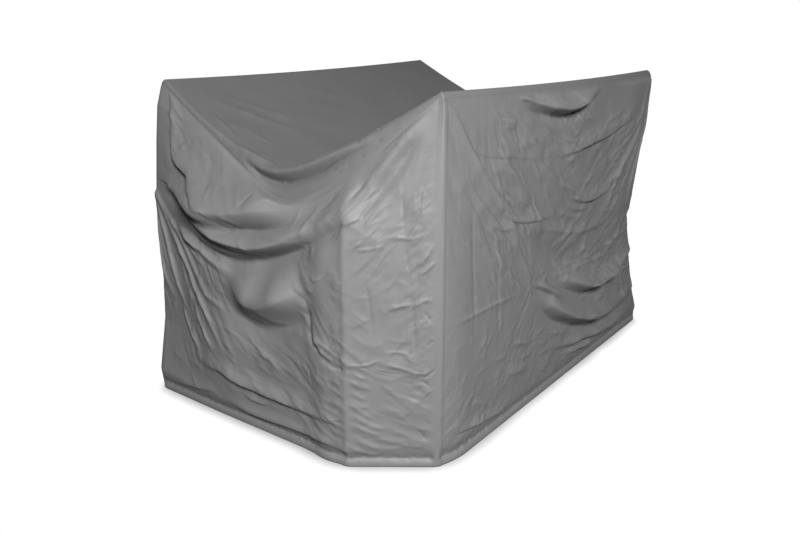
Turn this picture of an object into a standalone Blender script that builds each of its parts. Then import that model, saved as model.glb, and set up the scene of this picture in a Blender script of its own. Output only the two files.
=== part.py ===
"""A fitted cover for patio seating, draped over two high seat backs and low arms.

Five sewn panels of coated cloth: a top panel that sags between two long ridges, and four walls.
X runs along the ridges, Y across them and Z up. The origin is on the floor, under the middle.
The camera side is -X and -Y: the near end wall faces -X, and the near long wall faces -Y.
"""

from collections import namedtuple

import bmesh
import bpy
import numpy as np

# Cloth and seams
CLOTH = 0.002  # thickness of each panel
SEAM_GAP = 0.0003  # between two panels that are sewn together
PANEL_COLOUR = (0.20, 0.20, 0.20, 1.0)
PANEL_ROUGHNESS = 0.55

# Divisions of each panel
ACROSS_ENDS = 26
ALONG_SIDES = 28
WALL_ROWS = 28
SIDE_BAND_STEPS = 2  # on the narrow turned-down band along each ridge
END_BAND_STEPS = 3  # on the wider band along each end

# Hem outline on the floor, seen from above: straight runs between rounded corners
ARM_Y = -0.307  # where the near arm makes its square upright corner
CORNER_POINTS = 17  # on the bend of each corner
Corner = namedtuple("Corner", "name x y radius")
HEM = (
    Corner("near_right", -0.650, -0.508, 0.030),
    Corner("arm", -0.798, ARM_Y, 0.012),
    Corner("near_left", -0.793, 0.535, 0.060),
    Corner("far_left", 0.792, 0.535, 0.060),
    Corner("far_right", 0.810, -0.532, 0.040),
    Corner("near_side", -0.578, -0.532, 0.045),
)

# Ridges and rims: the top of the cover at its four corners, and how far it sags between them
Peak = namedtuple("Peak", "x y z")
NEAR_LEFT = Peak(-0.670, 0.525, 1.014)
NEAR_RIGHT = Peak(-0.643, -0.498, 1.018)
FAR_LEFT = Peak(0.714, 0.525, 1.038)
FAR_RIGHT = Peak(0.734, -0.510, 1.020)
RIM_BULGE = 0.040  # how far the middle of each end rim stands out past its corners
RIDGE_DIP = 0.004
END_SAG = 0.216
MIDDLE_SAG = 0.250
VALLEY_POWER = 1.35  # 2 would be a parabola, 1 a taut V
VALLEY_ROUND = 0.15

# The top panel's turned-down band, from the rim to the seam
BAND_SHARE = 0.024  # part of the panel's divisions on each side
SIDE_BAND_REACH = 0.014
SIDE_BAND_DROP = 0.018
BAND_TURN = 1.25  # radians turned from level at the seam

# How far the turned-down band of each end reaches out and drops, from the -Y ridge (side -1) to
# the +Y ridge (side 1)
BandRow = namedtuple("BandRow", "side reach drop")
NEAR_BAND = (
    BandRow(-1.00, 0.010, 0.014),
    BandRow(-0.80, 0.026, 0.045),
    BandRow(-0.60, 0.044, 0.080),
    BandRow(-0.40, 0.056, 0.096),
    BandRow(-0.20, 0.058, 0.100),
    BandRow(-0.05, 0.048, 0.080),
    BandRow(0.10, 0.034, 0.056),
    BandRow(0.25, 0.022, 0.038),
    BandRow(0.50, 0.012, 0.022),
    BandRow(0.85, 0.009, 0.014),
    BandRow(1.00, 0.010, 0.014),
)
FAR_BAND = (
    BandRow(-1.00, 0.014, 0.018),
    BandRow(-0.50, 0.030, 0.048),
    BandRow(0.00, 0.042, 0.072),
    BandRow(0.50, 0.028, 0.042),
    BandRow(1.00, 0.014, 0.018),
)

# Walls: below its shoulder a wall hangs straight, and above it the wall leans in to the seam
END_SHOULDER = 0.62
END_LEAN_POWER = 1.35
HIGHEST_SHOULDER = 0.9  # as a share of the seam's height
ARM_SHOULDER = 0.69
ARM_WIDTH = 0.12  # the arm's higher shoulder fades out this far from its corner
SIDE_LEAN_POWER = 1.6
EDGE_FADE = 2.6  # how fast the shape of a corner edge dies out along its walls
SEAM_FADE = 0.045  # folds run out over this distance before a seam

# Corner edges: how far each stands off a straight line from hem to top, in X and in Y. The heights
# are shares of the corner's height.
EdgeRow = namedtuple("EdgeRow", "height off_x off_y")
NEAR_LEFT_EDGE = (
    EdgeRow(0.00, 0.000, 0.000),
    EdgeRow(0.07, -0.014, 0.000),
    EdgeRow(0.25, 0.006, 0.000),
    EdgeRow(0.50, -0.004, 0.000),
    EdgeRow(0.67, -0.018, 0.004),
    EdgeRow(0.83, -0.010, 0.004),
    EdgeRow(1.00, 0.000, 0.000),
)
FAR_RIGHT_EDGE = (
    EdgeRow(0.00, 0.000, 0.000),
    EdgeRow(0.06, 0.008, 0.000),
    EdgeRow(0.19, -0.052, 0.004),
    EdgeRow(0.34, -0.102, 0.010),
    EdgeRow(0.48, -0.138, 0.014),
    EdgeRow(0.63, -0.096, 0.010),
    EdgeRow(0.80, -0.052, 0.004),
    EdgeRow(1.00, 0.000, 0.000),
)
FAR_LEFT_EDGE = (
    EdgeRow(0.00, 0.000, 0.000),
    EdgeRow(0.35, -0.045, -0.008),
    EdgeRow(0.67, 0.010, 0.004),
    EdgeRow(1.00, 0.000, 0.000),
)
NEAR_RIGHT_EDGE = (
    EdgeRow(0.00, 0.000, 0.000),
    EdgeRow(1.00, 0.000, 0.000),
)

# Main folds. lift is how far a fold stands out (or in, when negative), width its half width on
# the left of its path and sharp the other side's share of that. A path's points are (across,
# height), with across measured to the right by someone who faces the wall from outside.
Fold = namedtuple("Fold", "name lift width sharp path")
NEAR_END_FOLDS = (
    Fold("upper_swag", 0.024, 0.040, 0.8,
         ((-0.40, 0.74), (-0.24, 0.68), (-0.10, 0.66), (0.04, 0.69), (0.14, 0.715))),
    Fold("upper_groove", -0.020, 0.028, 1.0,
         ((-0.51, 0.98), (-0.47, 0.82), (-0.36, 0.70), (-0.20, 0.63), (-0.04, 0.63), (0.08, 0.67))),
    Fold("middle_swag", 0.022, 0.030, 1.0,
         ((-0.45, 0.695), (-0.32, 0.655), (-0.18, 0.61), (-0.06, 0.585), (0.05, 0.595), (0.16, 0.64))),
    Fold("deep_groove", -0.032, 0.030, 1.0,
         ((-0.52, 0.665), (-0.40, 0.61), (-0.28, 0.555), (-0.15, 0.53), (-0.02, 0.54), (0.08, 0.57),
          (0.21, 0.635), (0.30, 0.695))),
    Fold("lower_swag", 0.024, 0.050, 1.0, ((-0.22, 0.51), (-0.06, 0.465), (0.06, 0.46), (0.17, 0.53))),
    Fold("crescent", -0.026, 0.034, 1.0,
         ((-0.14, 0.40), (-0.065, 0.34), (0.005, 0.33), (0.11, 0.40), (0.185, 0.48))),
    Fold("fan_high", -0.020, 0.026, 1.0, ((-0.51, 0.66), (-0.36, 0.55), (-0.26, 0.455), (-0.13, 0.345))),
    Fold("fan_middle", -0.020, 0.026, 1.0, ((-0.50, 0.64), (-0.41, 0.53), (-0.31, 0.42), (-0.18, 0.25))),
    Fold("fan_low", -0.016, 0.024, 1.0, ((-0.50, 0.60), (-0.45, 0.49), (-0.39, 0.33))),
    Fold("arm_post", 0.014, 0.070, 1.0, ((0.24, 0.03), (0.24, 0.30), (0.24, 0.60))),
    Fold("foot_ridge", 0.011, 0.032, 0.8,
         ((-0.33, 0.185), (-0.19, 0.16), (0.00, 0.135), (0.13, 0.13), (0.25, 0.135))),
    Fold("corner_drag", 0.015, 0.026, 1.0, ((0.47, 0.985), (0.385, 0.88), (0.32, 0.77), (0.18, 0.675))),
)
NEAR_SIDE_FOLDS = (
    Fold("pocket_lip", 0.016, 0.028, 1.0,
         ((-0.22, 0.985), (-0.10, 0.955), (0.01, 0.94), (0.14, 0.96), (0.32, 0.99))),
    Fold("pocket", -0.022, 0.026, 1.0,
         ((-0.20, 0.955), (-0.09, 0.92), (0.03, 0.90), (0.16, 0.925), (0.28, 0.96))),
    Fold("long_drag", -0.016, 0.030, 1.0,
         ((-0.62, 0.965), (-0.505, 0.825), (-0.36, 0.665), (-0.24, 0.50), (-0.11, 0.405), (0.01, 0.34))),
    Fold("second_drag", -0.008, 0.026, 1.0, ((-0.55, 0.79), (-0.41, 0.655), (-0.29, 0.52))),
    Fold("middle_drag", -0.010, 0.028, 1.0, ((-0.27, 0.835), (-0.12, 0.76), (0.00, 0.695), (0.16, 0.64))),
    Fold("high_lip", 0.012, 0.030, 1.0, ((-0.02, 0.80), (0.18, 0.815), (0.34, 0.83), (0.54, 0.87))),
    Fold("hollow", -0.022, 0.045, 1.0, ((-0.19, 0.60), (-0.11, 0.52), (0.03, 0.455), (0.26, 0.40))),
    Fold("far_drag", 0.012, 0.032, 1.0,
         ((0.70, 0.97), (0.61, 0.79), (0.51, 0.705), (0.40, 0.56), (0.36, 0.49))),
    Fold("high_ridge", 0.022, 0.030, 1.0,
         ((0.00, 0.375), (0.12, 0.33), (0.26, 0.28), (0.44, 0.265), (0.70, 0.275))),
    Fold("high_groove", -0.018, 0.030, 1.0,
         ((-0.14, 0.385), (0.00, 0.32), (0.12, 0.28), (0.26, 0.225), (0.44, 0.205), (0.70, 0.215))),
    Fold("middle_ridge", 0.022, 0.030, 1.0,
         ((-0.14, 0.32), (-0.04, 0.27), (0.12, 0.205), (0.31, 0.155), (0.50, 0.145), (0.74, 0.135))),
    Fold("middle_groove", -0.014, 0.028, 1.0,
         ((0.02, 0.185), (0.15, 0.140), (0.31, 0.100), (0.50, 0.085), (0.74, 0.080))),
)
FAR_END_FOLDS = (
    Fold("upper_swag", 0.018, 0.045, 1.0, ((-0.38, 0.82), (-0.05, 0.69), (0.40, 0.80))),
    Fold("deep_groove", -0.028, 0.032, 1.0, ((-0.44, 0.62), (-0.10, 0.55), (0.16, 0.56), (0.46, 0.68))),
    Fold("lower_swag", 0.020, 0.050, 1.0, ((-0.40, 0.52), (-0.05, 0.45), (0.40, 0.56))),
    Fold("left_drag", 0.014, 0.032, 1.0, ((-0.46, 0.46), (-0.30, 0.30), (-0.18, 0.10))),
    Fold("right_drag", 0.015, 0.032, 1.0, ((0.47, 0.64), (0.36, 0.40), (0.30, 0.16))),
)
FAR_SIDE_FOLDS = (
    Fold("left_drag", 0.015, 0.032, 1.0, ((-0.64, 0.97), (-0.42, 0.66), (-0.14, 0.38))),
    Fold("right_drag", 0.015, 0.032, 1.0, ((0.60, 0.96), (0.42, 0.64), (0.12, 0.36))),
    Fold("pocket", -0.018, 0.030, 1.0, ((-0.34, 0.97), (-0.08, 0.91), (0.20, 0.97))),
    Fold("low_groove", -0.022, 0.032, 1.0, ((-0.50, 0.30), (-0.05, 0.22), (0.46, 0.31))),
    Fold("low_ridge", 0.018, 0.036, 1.0, ((-0.56, 0.20), (0.00, 0.13), (0.54, 0.22))),
)
TOP_FOLDS = (
    Fold("rim_hollow", -0.010, 0.016, 1.0,
         ((-0.715, 0.16), (-0.728, 0.05), (-0.728, -0.06), (-0.715, -0.22))),
    Fold("slope_crease", 0.006, 0.036, 1.0, ((-0.60, 0.46), (-0.50, 0.30), (-0.40, 0.20))),
)
FOLD_SAMPLES = 12  # points read between two points of a fold's path
FOLD_RUN_OUT = 0.14  # share of a fold's length over which it rises and dies away
FOLD_END_STRENGTH = 0.25  # what is left of a fold at its ends


def mix(a, b, share):
    return a + (b - a) * share


def smooth(share):
    """An S-shaped step from 0 to 1."""
    share = np.clip(share, 0.0, 1.0)
    return share * share * (3.0 - 2.0 * share)


# ---------------------------------------------------------------- hem outline


def rounded_outline(corners):
    """The outline's points, their distances along it, and the distance of each corner's middle."""
    points = []
    middles = []
    for index, corner in enumerate(corners):
        here = np.array([corner.x, corner.y])
        before = np.array([corners[index - 1].x, corners[index - 1].y])
        after_corner = corners[(index + 1) % len(corners)]
        after = np.array([after_corner.x, after_corner.y])
        start = here + corner.radius * (before - here) / np.linalg.norm(before - here)
        end = here + corner.radius * (after - here) / np.linalg.norm(after - here)
        share = np.linspace(0.0, 1.0, CORNER_POINTS)[:, None]
        bend = mix(mix(start, here, share), mix(here, end, share), share)
        middles.append(len(points) + CORNER_POINTS // 2)
        points.extend(bend)
    points.append(points[0])
    points = np.array(points)
    lengths = np.concatenate([[0.0], np.cumsum(np.linalg.norm(np.diff(points, axis=0), axis=1))])
    return points, lengths, lengths[middles]


HEM_POINTS, HEM_LENGTHS, HEM_MIDDLES = rounded_outline(HEM)
HEM_AT = {corner.name: middle for corner, middle in zip(HEM, HEM_MIDDLES)}


def hem_point(distance):
    distance = np.mod(distance, HEM_LENGTHS[-1])
    x = np.interp(distance, HEM_LENGTHS, HEM_POINTS[:, 0])
    y = np.interp(distance, HEM_LENGTHS, HEM_POINTS[:, 1])
    return np.stack([x, y], axis=-1)


# ---------------------------------------------------------------- top panel


def rim_split(share):
    """The place between the rims as 0 to 1, and how far past a rim, from -1 to 1 at the seams."""
    inner = np.clip((share - BAND_SHARE) / (1.0 - 2.0 * BAND_SHARE), 0.0, 1.0)
    past = np.clip(share / BAND_SHARE - 1.0, -1.0, 0.0)
    past = past + np.clip((share - 1.0) / BAND_SHARE + 1.0, 0.0, 1.0)
    return inner, past


def valley_share(across):
    """0 at the bottom of the valley, 1 at both ridges."""
    rounding = VALLEY_ROUND**VALLEY_POWER
    rise = (across**2 + VALLEY_ROUND**2) ** (VALLEY_POWER / 2.0) - rounding
    return rise / ((1.0 + VALLEY_ROUND**2) ** (VALLEY_POWER / 2.0) - rounding)


def smooth_path(points):
    """A Catmull-Rom curve through the path's points."""
    points = np.array(points)
    points = np.vstack([2.0 * points[0] - points[1], points, 2.0 * points[-1] - points[-2]])
    share = np.linspace(0.0, 1.0, FOLD_SAMPLES, endpoint=False)[:, None]
    pieces = []
    for a, b, c, d in zip(points, points[1:], points[2:], points[3:]):
        curve = 2.0 * b + (c - a) * share
        curve = curve + (2.0 * a - 5.0 * b + 4.0 * c - d) * share**2
        curve = curve + (3.0 * b - a - 3.0 * c + d) * share**3
        pieces.append(0.5 * curve)
    pieces.append(points[-2][None, :])
    return np.vstack(pieces)


def band_size(rows, side):
    """How far a band reaches out and drops at each place from side to side."""
    curve = smooth_path(rows)
    reach = np.interp(side, curve[:, 0], curve[:, 1])
    return reach, np.interp(side, curve[:, 0], curve[:, 2])


def top_point(along, across):
    """The top panel's surface: along is 0 at the near seam, across is 0 at the -Y seam."""
    inner_along, past_end = rim_split(along)
    inner_across, past_side = rim_split(across)
    side = 2.0 * inner_across - 1.0
    end = 2.0 * inner_along - 1.0
    bulge = RIM_BULGE * (1.0 - side**2)
    near_x = mix(NEAR_RIGHT.x, NEAR_LEFT.x, inner_across) - bulge
    far_x = mix(FAR_RIGHT.x, FAR_LEFT.x, inner_across) + bulge
    x = mix(near_x, far_x, inner_along)
    right_y = mix(NEAR_RIGHT.y, FAR_RIGHT.y, inner_along)
    left_y = mix(NEAR_LEFT.y, FAR_LEFT.y, inner_along)
    y = mix(right_y, left_y, inner_across)
    right_z = mix(NEAR_RIGHT.z, FAR_RIGHT.z, inner_along)
    left_z = mix(NEAR_LEFT.z, FAR_LEFT.z, inner_along)
    ridge = mix(right_z, left_z, inner_across) - RIDGE_DIP * (1.0 - end**2)
    sag = mix(MIDDLE_SAG, END_SAG, end**2)
    z = ridge - sag * (1.0 - valley_share(side))
    near_reach, near_drop = band_size(NEAR_BAND, side)
    far_reach, far_drop = band_size(FAR_BAND, side)
    end_reach = np.where(past_end < 0.0, near_reach, far_reach)
    end_drop = np.where(past_end < 0.0, near_drop, far_drop)
    x = x + np.sign(past_end) * end_reach * band_out(past_end)
    y = y + np.sign(past_side) * SIDE_BAND_REACH * band_out(past_side)
    z = z - np.hypot(end_drop * band_down(past_end), SIDE_BAND_DROP * band_down(past_side))
    return np.stack([x, y, z], axis=-1)


def band_out(past):
    return np.sin(BAND_TURN * np.abs(past)) / np.sin(BAND_TURN)


def band_down(past):
    return (1.0 - np.cos(BAND_TURN * np.abs(past))) / (1.0 - np.cos(BAND_TURN))


# ---------------------------------------------------------------- folds


def fold_lift(folds, places):
    """How far the folds push the surface out at each place, given as (across, height)."""
    lift = np.zeros(places.shape[:-1])
    for fold in folds:
        path = smooth_path(fold.path)
        run = np.gradient(path, axis=0)
        offset = places[..., None, :] - path
        distance = np.linalg.norm(offset, axis=-1)
        nearest = distance.argmin(axis=-1)
        closest = np.take_along_axis(distance, nearest[..., None], axis=-1)[..., 0]
        side = run[:, 0] * offset[..., 1] - run[:, 1] * offset[..., 0]
        side = np.take_along_axis(side, nearest[..., None], axis=-1)[..., 0]
        width = np.where(side > 0.0, fold.width, fold.width * fold.sharp)
        share = nearest / (len(path) - 1.0)
        strength = smooth(share / FOLD_RUN_OUT) * smooth((1.0 - share) / FOLD_RUN_OUT)
        ends = mix(FOLD_END_STRENGTH, 1.0, strength)
        lift = lift + fold.lift * ends * np.exp(-((closest / width) ** 2))
    return lift


# ---------------------------------------------------------------- walls

# to_right is the way along a wall for someone who faces it from outside
Wall = namedtuple("Wall", "name left right left_edge right_edge to_right folds")
WALLS = (
    Wall("end_wall_near", "near_left", "near_right", NEAR_LEFT_EDGE, NEAR_RIGHT_EDGE,
         (0.0, -1.0), NEAR_END_FOLDS),
    Wall("long_wall_near", "near_right", "far_right", NEAR_RIGHT_EDGE, FAR_RIGHT_EDGE,
         (1.0, 0.0), NEAR_SIDE_FOLDS),
    Wall("end_wall_far", "far_right", "far_left", FAR_RIGHT_EDGE, FAR_LEFT_EDGE,
         (0.0, 1.0), FAR_END_FOLDS),
    Wall("long_wall_far", "far_left", "near_left", FAR_LEFT_EDGE, NEAR_LEFT_EDGE,
         (-1.0, 0.0), FAR_SIDE_FOLDS),
)


def divisions(count, band_steps):
    """Even shares from seam to seam, with narrower ones on the turned-down band at each side."""
    band = np.linspace(0.0, BAND_SHARE, band_steps + 1)
    inner = np.linspace(BAND_SHARE, 1.0 - BAND_SHARE, count - 2 * band_steps + 1)
    return np.concatenate([band[:-1], inner, 1.0 - band[-2::-1]])


ACROSS_SHARES = divisions(ACROSS_ENDS, SIDE_BAND_STEPS)
ALONG_SHARES = divisions(ALONG_SIDES, END_BAND_STEPS)


def seam_points(name):
    """The top edge of a wall, from its left to its right."""
    ends = ACROSS_SHARES
    sides = ALONG_SHARES
    return {
        "end_wall_near": top_point(np.zeros_like(ends), ends[::-1]),
        "long_wall_near": top_point(sides, np.zeros_like(sides)),
        "end_wall_far": top_point(np.ones_like(ends), ends),
        "long_wall_far": top_point(sides[::-1], np.ones_like(sides)),
    }[name]


def edge_shift(rows, height_share):
    heights = [row.height for row in rows]
    off_x = np.interp(height_share, heights, [row.off_x for row in rows])
    off_y = np.interp(height_share, heights, [row.off_y for row in rows])
    return np.stack([off_x, off_y], axis=-1)


def hem_run(wall, shares):
    """Distances along the hem, at shares of the way from the wall's left seam to its right one."""
    start = HEM_AT[wall.left]
    end = HEM_AT[wall.right]
    total = HEM_LENGTHS[-1]
    backwards = (start - end) % total
    return start - backwards * shares


def wall_base(wall):
    """The wall without its folds, in columns from left to right and rows from hem to seam."""
    seam = seam_points(wall.name)
    is_end = wall.name.startswith("end_wall")
    shares = ACROSS_SHARES if is_end else ALONG_SHARES
    hem = hem_point(hem_run(wall, shares))
    rise = np.linspace(0.0, 1.0, WALL_ROWS + 1)[None, :]
    height = rise * seam[:, 2, None]
    if is_end:
        shoulder = END_SHOULDER
        if wall.name.endswith("near"):
            # the arm's square corner stays crisp up to a higher shoulder
            to_arm = np.abs(hem[:, 1] - ARM_Y)
            shoulder = mix(ARM_SHOULDER, END_SHOULDER, smooth(to_arm / ARM_WIDTH))[:, None]
        shoulder = np.minimum(shoulder, HIGHEST_SHOULDER * seam[:, 2, None])
        lean = np.clip((height - shoulder) / (seam[:, 2, None] - shoulder), 0.0, 1.0)
        lean = lean**END_LEAN_POWER
    else:
        lean = rise**SIDE_LEAN_POWER
    lean = lean * np.ones_like(height)
    plan = mix(hem[:, None, :], seam[:, None, :2], lean[..., None])
    share = shares[:, None]
    for rows, fade, column in (
        (wall.left_edge, (1.0 - share) ** EDGE_FADE, 0),
        (wall.right_edge, share**EDGE_FADE, -1),
    ):
        straight = mix(hem[column], seam[column, :2], rise[0][:, None])
        edge = straight + edge_shift(rows, rise[0])
        shift = edge - plan[column]
        plan = plan + fade[..., None] * shift[None, :, :]
    return np.concatenate([plan, height[..., None]], axis=-1)


def grid_normals(grid):
    """Outward normals of a grid whose rows run up and whose columns run to the right."""
    right = np.gradient(grid, axis=0)
    up = np.gradient(grid, axis=1)
    normal = np.cross(right, up)
    return normal / np.linalg.norm(normal, axis=-1, keepdims=True)


def wall_grid(wall):
    base = wall_base(wall)
    across = base[..., :2] @ np.array(wall.to_right)
    places = np.stack([across, base[..., 2]], axis=-1)
    lift = fold_lift(wall.folds, places)
    below_seam = base[:, -1:, 2] - base[..., 2]
    from_left = np.linalg.norm(base - base[:1], axis=-1)
    from_right = np.linalg.norm(base - base[-1:], axis=-1)
    lift = lift * smooth(below_seam / SEAM_FADE)
    lift = lift * smooth(from_left / SEAM_FADE) * smooth(from_right / SEAM_FADE)
    push = grid_normals(base) * lift[..., None]
    push[:, 0, 2] = 0.0
    return base + push


def top_grid():
    along = ALONG_SHARES[:, None]
    across = ACROSS_SHARES[None, :]
    base = top_point(along + 0.0 * across, across + 0.0 * along)
    lift = fold_lift(TOP_FOLDS, base[..., :2])
    for rim in (base[:1], base[-1:], base[:, :1], base[:, -1:]):
        lift = lift * smooth(np.linalg.norm(base - rim, axis=-1) / SEAM_FADE)
    return base + grid_normals(base) * lift[..., None]


# ---------------------------------------------------------------- panels as closed solids


def point_key(point):
    return tuple(np.round(point, 6))


def shared_normals(grids):
    """One normal for each place, shared by all the panels that meet there, so that they mitre."""
    total = {}
    for grid in grids.values():
        right = grid[1:] - grid[:-1]
        up = grid[:, 1:] - grid[:, :-1]
        face = np.cross(right[:, :-1] + right[:, 1:], up[:-1] + up[1:])
        for column in range(grid.shape[0] - 1):
            for row in range(grid.shape[1] - 1):
                for i, j in ((0, 0), (1, 0), (0, 1), (1, 1)):
                    key = point_key(grid[column + i, row + j])
                    total[key] = total.get(key, 0.0) + face[column, row]
    return total


def inner_skin(grid, normals, open_hem):
    inward = np.empty_like(grid)
    for index in np.ndindex(grid.shape[:2]):
        inward[index] = -normals[point_key(grid[index])]
    if open_hem:
        inward[:, 0, 2] = 0.0
    return grid + CLOTH * inward / np.linalg.norm(inward, axis=-1, keepdims=True)


def pulled_back(grid, open_hem):
    """The way each border point moves, along the cloth, to leave half of the gap at every seam."""
    move = np.zeros_like(grid)
    borders = [
        (np.s_[0, :], np.s_[1, :]),
        (np.s_[-1, :], np.s_[-2, :]),
        (np.s_[:, -1], np.s_[:, -2]),
    ]
    if not open_hem:
        borders.append((np.s_[:, 0], np.s_[:, 1]))
    for border, inside in borders:
        step = grid[inside] - grid[border]
        move[border] += 0.5 * SEAM_GAP * step / np.linalg.norm(step, axis=-1, keepdims=True)
    return move


def cloth_material(name):
    material = bpy.data.materials.new(name)
    material.use_nodes = True
    shader = material.node_tree.nodes["Principled BSDF"]
    shader.inputs["Base Color"].default_value = PANEL_COLOUR
    shader.inputs["Roughness"].default_value = PANEL_ROUGHNESS
    shader.inputs["Metallic"].default_value = 0.0
    return material


def add_panel(name, grid, normals, open_hem):
    """A closed sheet: the grid as its outer skin, an inner skin, and a strip all round its border."""
    move = pulled_back(grid, open_hem)
    mesh = bmesh.new()
    outer = [[mesh.verts.new(point) for point in column] for column in grid + move]
    inner = [
        [mesh.verts.new(point) for point in column]
        for column in inner_skin(grid, normals, open_hem) + move
    ]
    columns = len(outer) - 1
    rows = len(outer[0]) - 1
    for i in range(columns):
        for j in range(rows):
            mesh.faces.new((outer[i][j], outer[i + 1][j], outer[i + 1][j + 1], outer[i][j + 1]))
            mesh.faces.new((inner[i][j], inner[i][j + 1], inner[i + 1][j + 1], inner[i + 1][j]))
    border = [(i, 0) for i in range(columns)]
    border += [(columns, j) for j in range(rows)]
    border += [(i, rows) for i in range(columns, 0, -1)]
    border += [(0, j) for j in range(rows, 0, -1)]
    for (a, b), (c, d) in zip(border, border[1:] + border[:1]):
        mesh.faces.new((outer[c][d], outer[a][b], inner[a][b], inner[c][d]))
    bmesh.ops.triangulate(mesh, faces=mesh.faces[:])
    data = bpy.data.meshes.new(name)
    mesh.to_mesh(data)
    mesh.free()
    data.shade_smooth()
    data.materials.append(cloth_material(f"coated_cloth_{name}"))
    bpy.context.scene.collection.objects.link(bpy.data.objects.new(name, data))


def build():
    for obj in list(bpy.data.objects):
        bpy.data.objects.remove(obj, do_unlink=True)
    grids = {"top_panel": top_grid()}
    for wall in WALLS:
        grids[wall.name] = wall_grid(wall)
    normals = shared_normals(grids)
    for name, grid in grids.items():
        add_panel(name, grid, normals, open_hem=name != "top_panel")


build()
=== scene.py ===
"""The looks of a fitted patio furniture cover: five panels of coated cloth, sewn and draped.

It hangs from two long ridges, with a valley sagging between them.
X runs along the two ridges, Y across them and Z up. The camera side is -X and -Y.
Sizes are in metres unless a name says otherwise.
"""

import math
from collections import namedtuple

import bmesh
import bpy
import numpy as np
from mathutils import Matrix, Vector


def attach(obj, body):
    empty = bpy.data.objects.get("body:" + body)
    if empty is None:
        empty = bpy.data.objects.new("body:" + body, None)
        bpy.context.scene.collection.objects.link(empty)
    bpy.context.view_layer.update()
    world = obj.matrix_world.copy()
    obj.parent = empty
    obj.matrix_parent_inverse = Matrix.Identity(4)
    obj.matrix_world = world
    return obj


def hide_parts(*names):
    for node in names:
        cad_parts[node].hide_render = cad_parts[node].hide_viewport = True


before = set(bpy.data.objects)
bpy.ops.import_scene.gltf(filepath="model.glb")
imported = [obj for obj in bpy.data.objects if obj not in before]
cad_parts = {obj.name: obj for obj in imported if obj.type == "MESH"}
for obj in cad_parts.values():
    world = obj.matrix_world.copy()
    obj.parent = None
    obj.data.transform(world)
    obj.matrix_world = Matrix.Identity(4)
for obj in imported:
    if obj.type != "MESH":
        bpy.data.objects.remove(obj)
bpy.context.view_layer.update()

# ---------------------------------------------------------------- camera
# It stands off the near corner, a little above the ridges, and looks down across the cover.

CAMERA_PLACE = (-2.192, -1.530, 1.150)
CAMERA_HEADING = (0.8014, 0.5981)
CAMERA_TILT = math.radians(17.07)
CAMERA_LENS_MM = 34.065
CAMERA_SENSOR_MM = 36.0

camera = bpy.data.objects.new("camera", bpy.data.cameras.new("camera"))
camera.data.lens = CAMERA_LENS_MM
camera.data.sensor_width = CAMERA_SENSOR_MM
camera.location = CAMERA_PLACE
camera.rotation_euler = (math.pi / 2.0 - CAMERA_TILT, 0.0, -math.atan2(*CAMERA_HEADING))
bpy.context.scene.collection.objects.link(camera)
bpy.context.scene.camera = camera

# ---------------------------------------------------------------- top panel
# One piece of coated polyester that sags between the two ridges. Its border is turned down all
# round and sewn to the tops of the four walls.

Peak = namedtuple("Peak", "x y z")
NEAR_LEFT = Peak(-0.670, 0.525, 1.014)
NEAR_RIGHT = Peak(-0.643, -0.498, 1.018)
FAR_LEFT = Peak(0.714, 0.525, 1.038)
FAR_RIGHT = Peak(0.734, -0.510, 1.020)
RIM_BULGE = 0.040  # how far the middle of each end rim stands out past its corners
RIDGE_DIP = 0.008
END_SAG = 0.216
MIDDLE_SAG = 0.250
VALLEY_POWER = 1.35  # 2 would be a parabola, 1 a taut V
VALLEY_ROUND = 0.15
BAND_SHARE = 0.024  # part of the panel's divisions that is turned down on each side
SIDE_BAND_REACH = 0.014
SIDE_BAND_DROP = 0.018
BAND_TURN = 1.25  # radians turned from level at the seam
END_BAND_COLUMNS = 28
SIDE_BAND_COLUMNS = 14
TOP_ALONG = 330
TOP_ACROSS = 260
SEAM_FADE = 0.020  # main folds run out over this distance before a seam
WEAVE_SCALE = 524.0  # a period of 0.6 mm in metres of cut cloth
WEAVE_DEPTH = 0.00008
PATH_STEPS = 5  # pieces of curve between two points of a fold's path
CREASE_TIP = 0.0025  # radius of the tip of a crease
FOLD_REACH = 3.6  # a fold is not felt more than this many widths away
FOLD_MARGIN = 0.01
FOLD_TAPER = 1.4  # how soon a fold reaches its full lift along its path
LEDGE_EVENNESS = 0.6  # 1 would be a ledge that drops along a straight slope
NARROW_SOFTNESS = 1.8  # how much wider a narrow crease is on its soft side
SCATTER_SOFTNESS = 1.6
SCATTER_LENGTHS = (0.6, 1.4)
SCATTER_LIFTS = (0.5, 1.3)
SCATTER_BEND = 0.2

# How far the turned-down border of each end reaches out and drops, from the -Y ridge (side -1) to
# the +Y ridge (side 1)
BandRow = namedtuple("BandRow", "side reach drop")
NEAR_BAND = (
    BandRow(-1.00, 0.010, 0.014),
    BandRow(-0.80, 0.026, 0.045),
    BandRow(-0.60, 0.044, 0.080),
    BandRow(-0.40, 0.056, 0.096),
    BandRow(-0.20, 0.058, 0.100),
    BandRow(-0.05, 0.048, 0.080),
    BandRow(0.10, 0.034, 0.056),
    BandRow(0.25, 0.022, 0.038),
    BandRow(0.50, 0.012, 0.022),
    BandRow(0.85, 0.009, 0.014),
    BandRow(1.00, 0.010, 0.014),
)
FAR_BAND = (
    BandRow(-1.00, 0.014, 0.018),
    BandRow(-0.50, 0.030, 0.048),
    BandRow(0.00, 0.042, 0.072),
    BandRow(0.50, 0.028, 0.042),
    BandRow(1.00, 0.014, 0.018),
)

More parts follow.
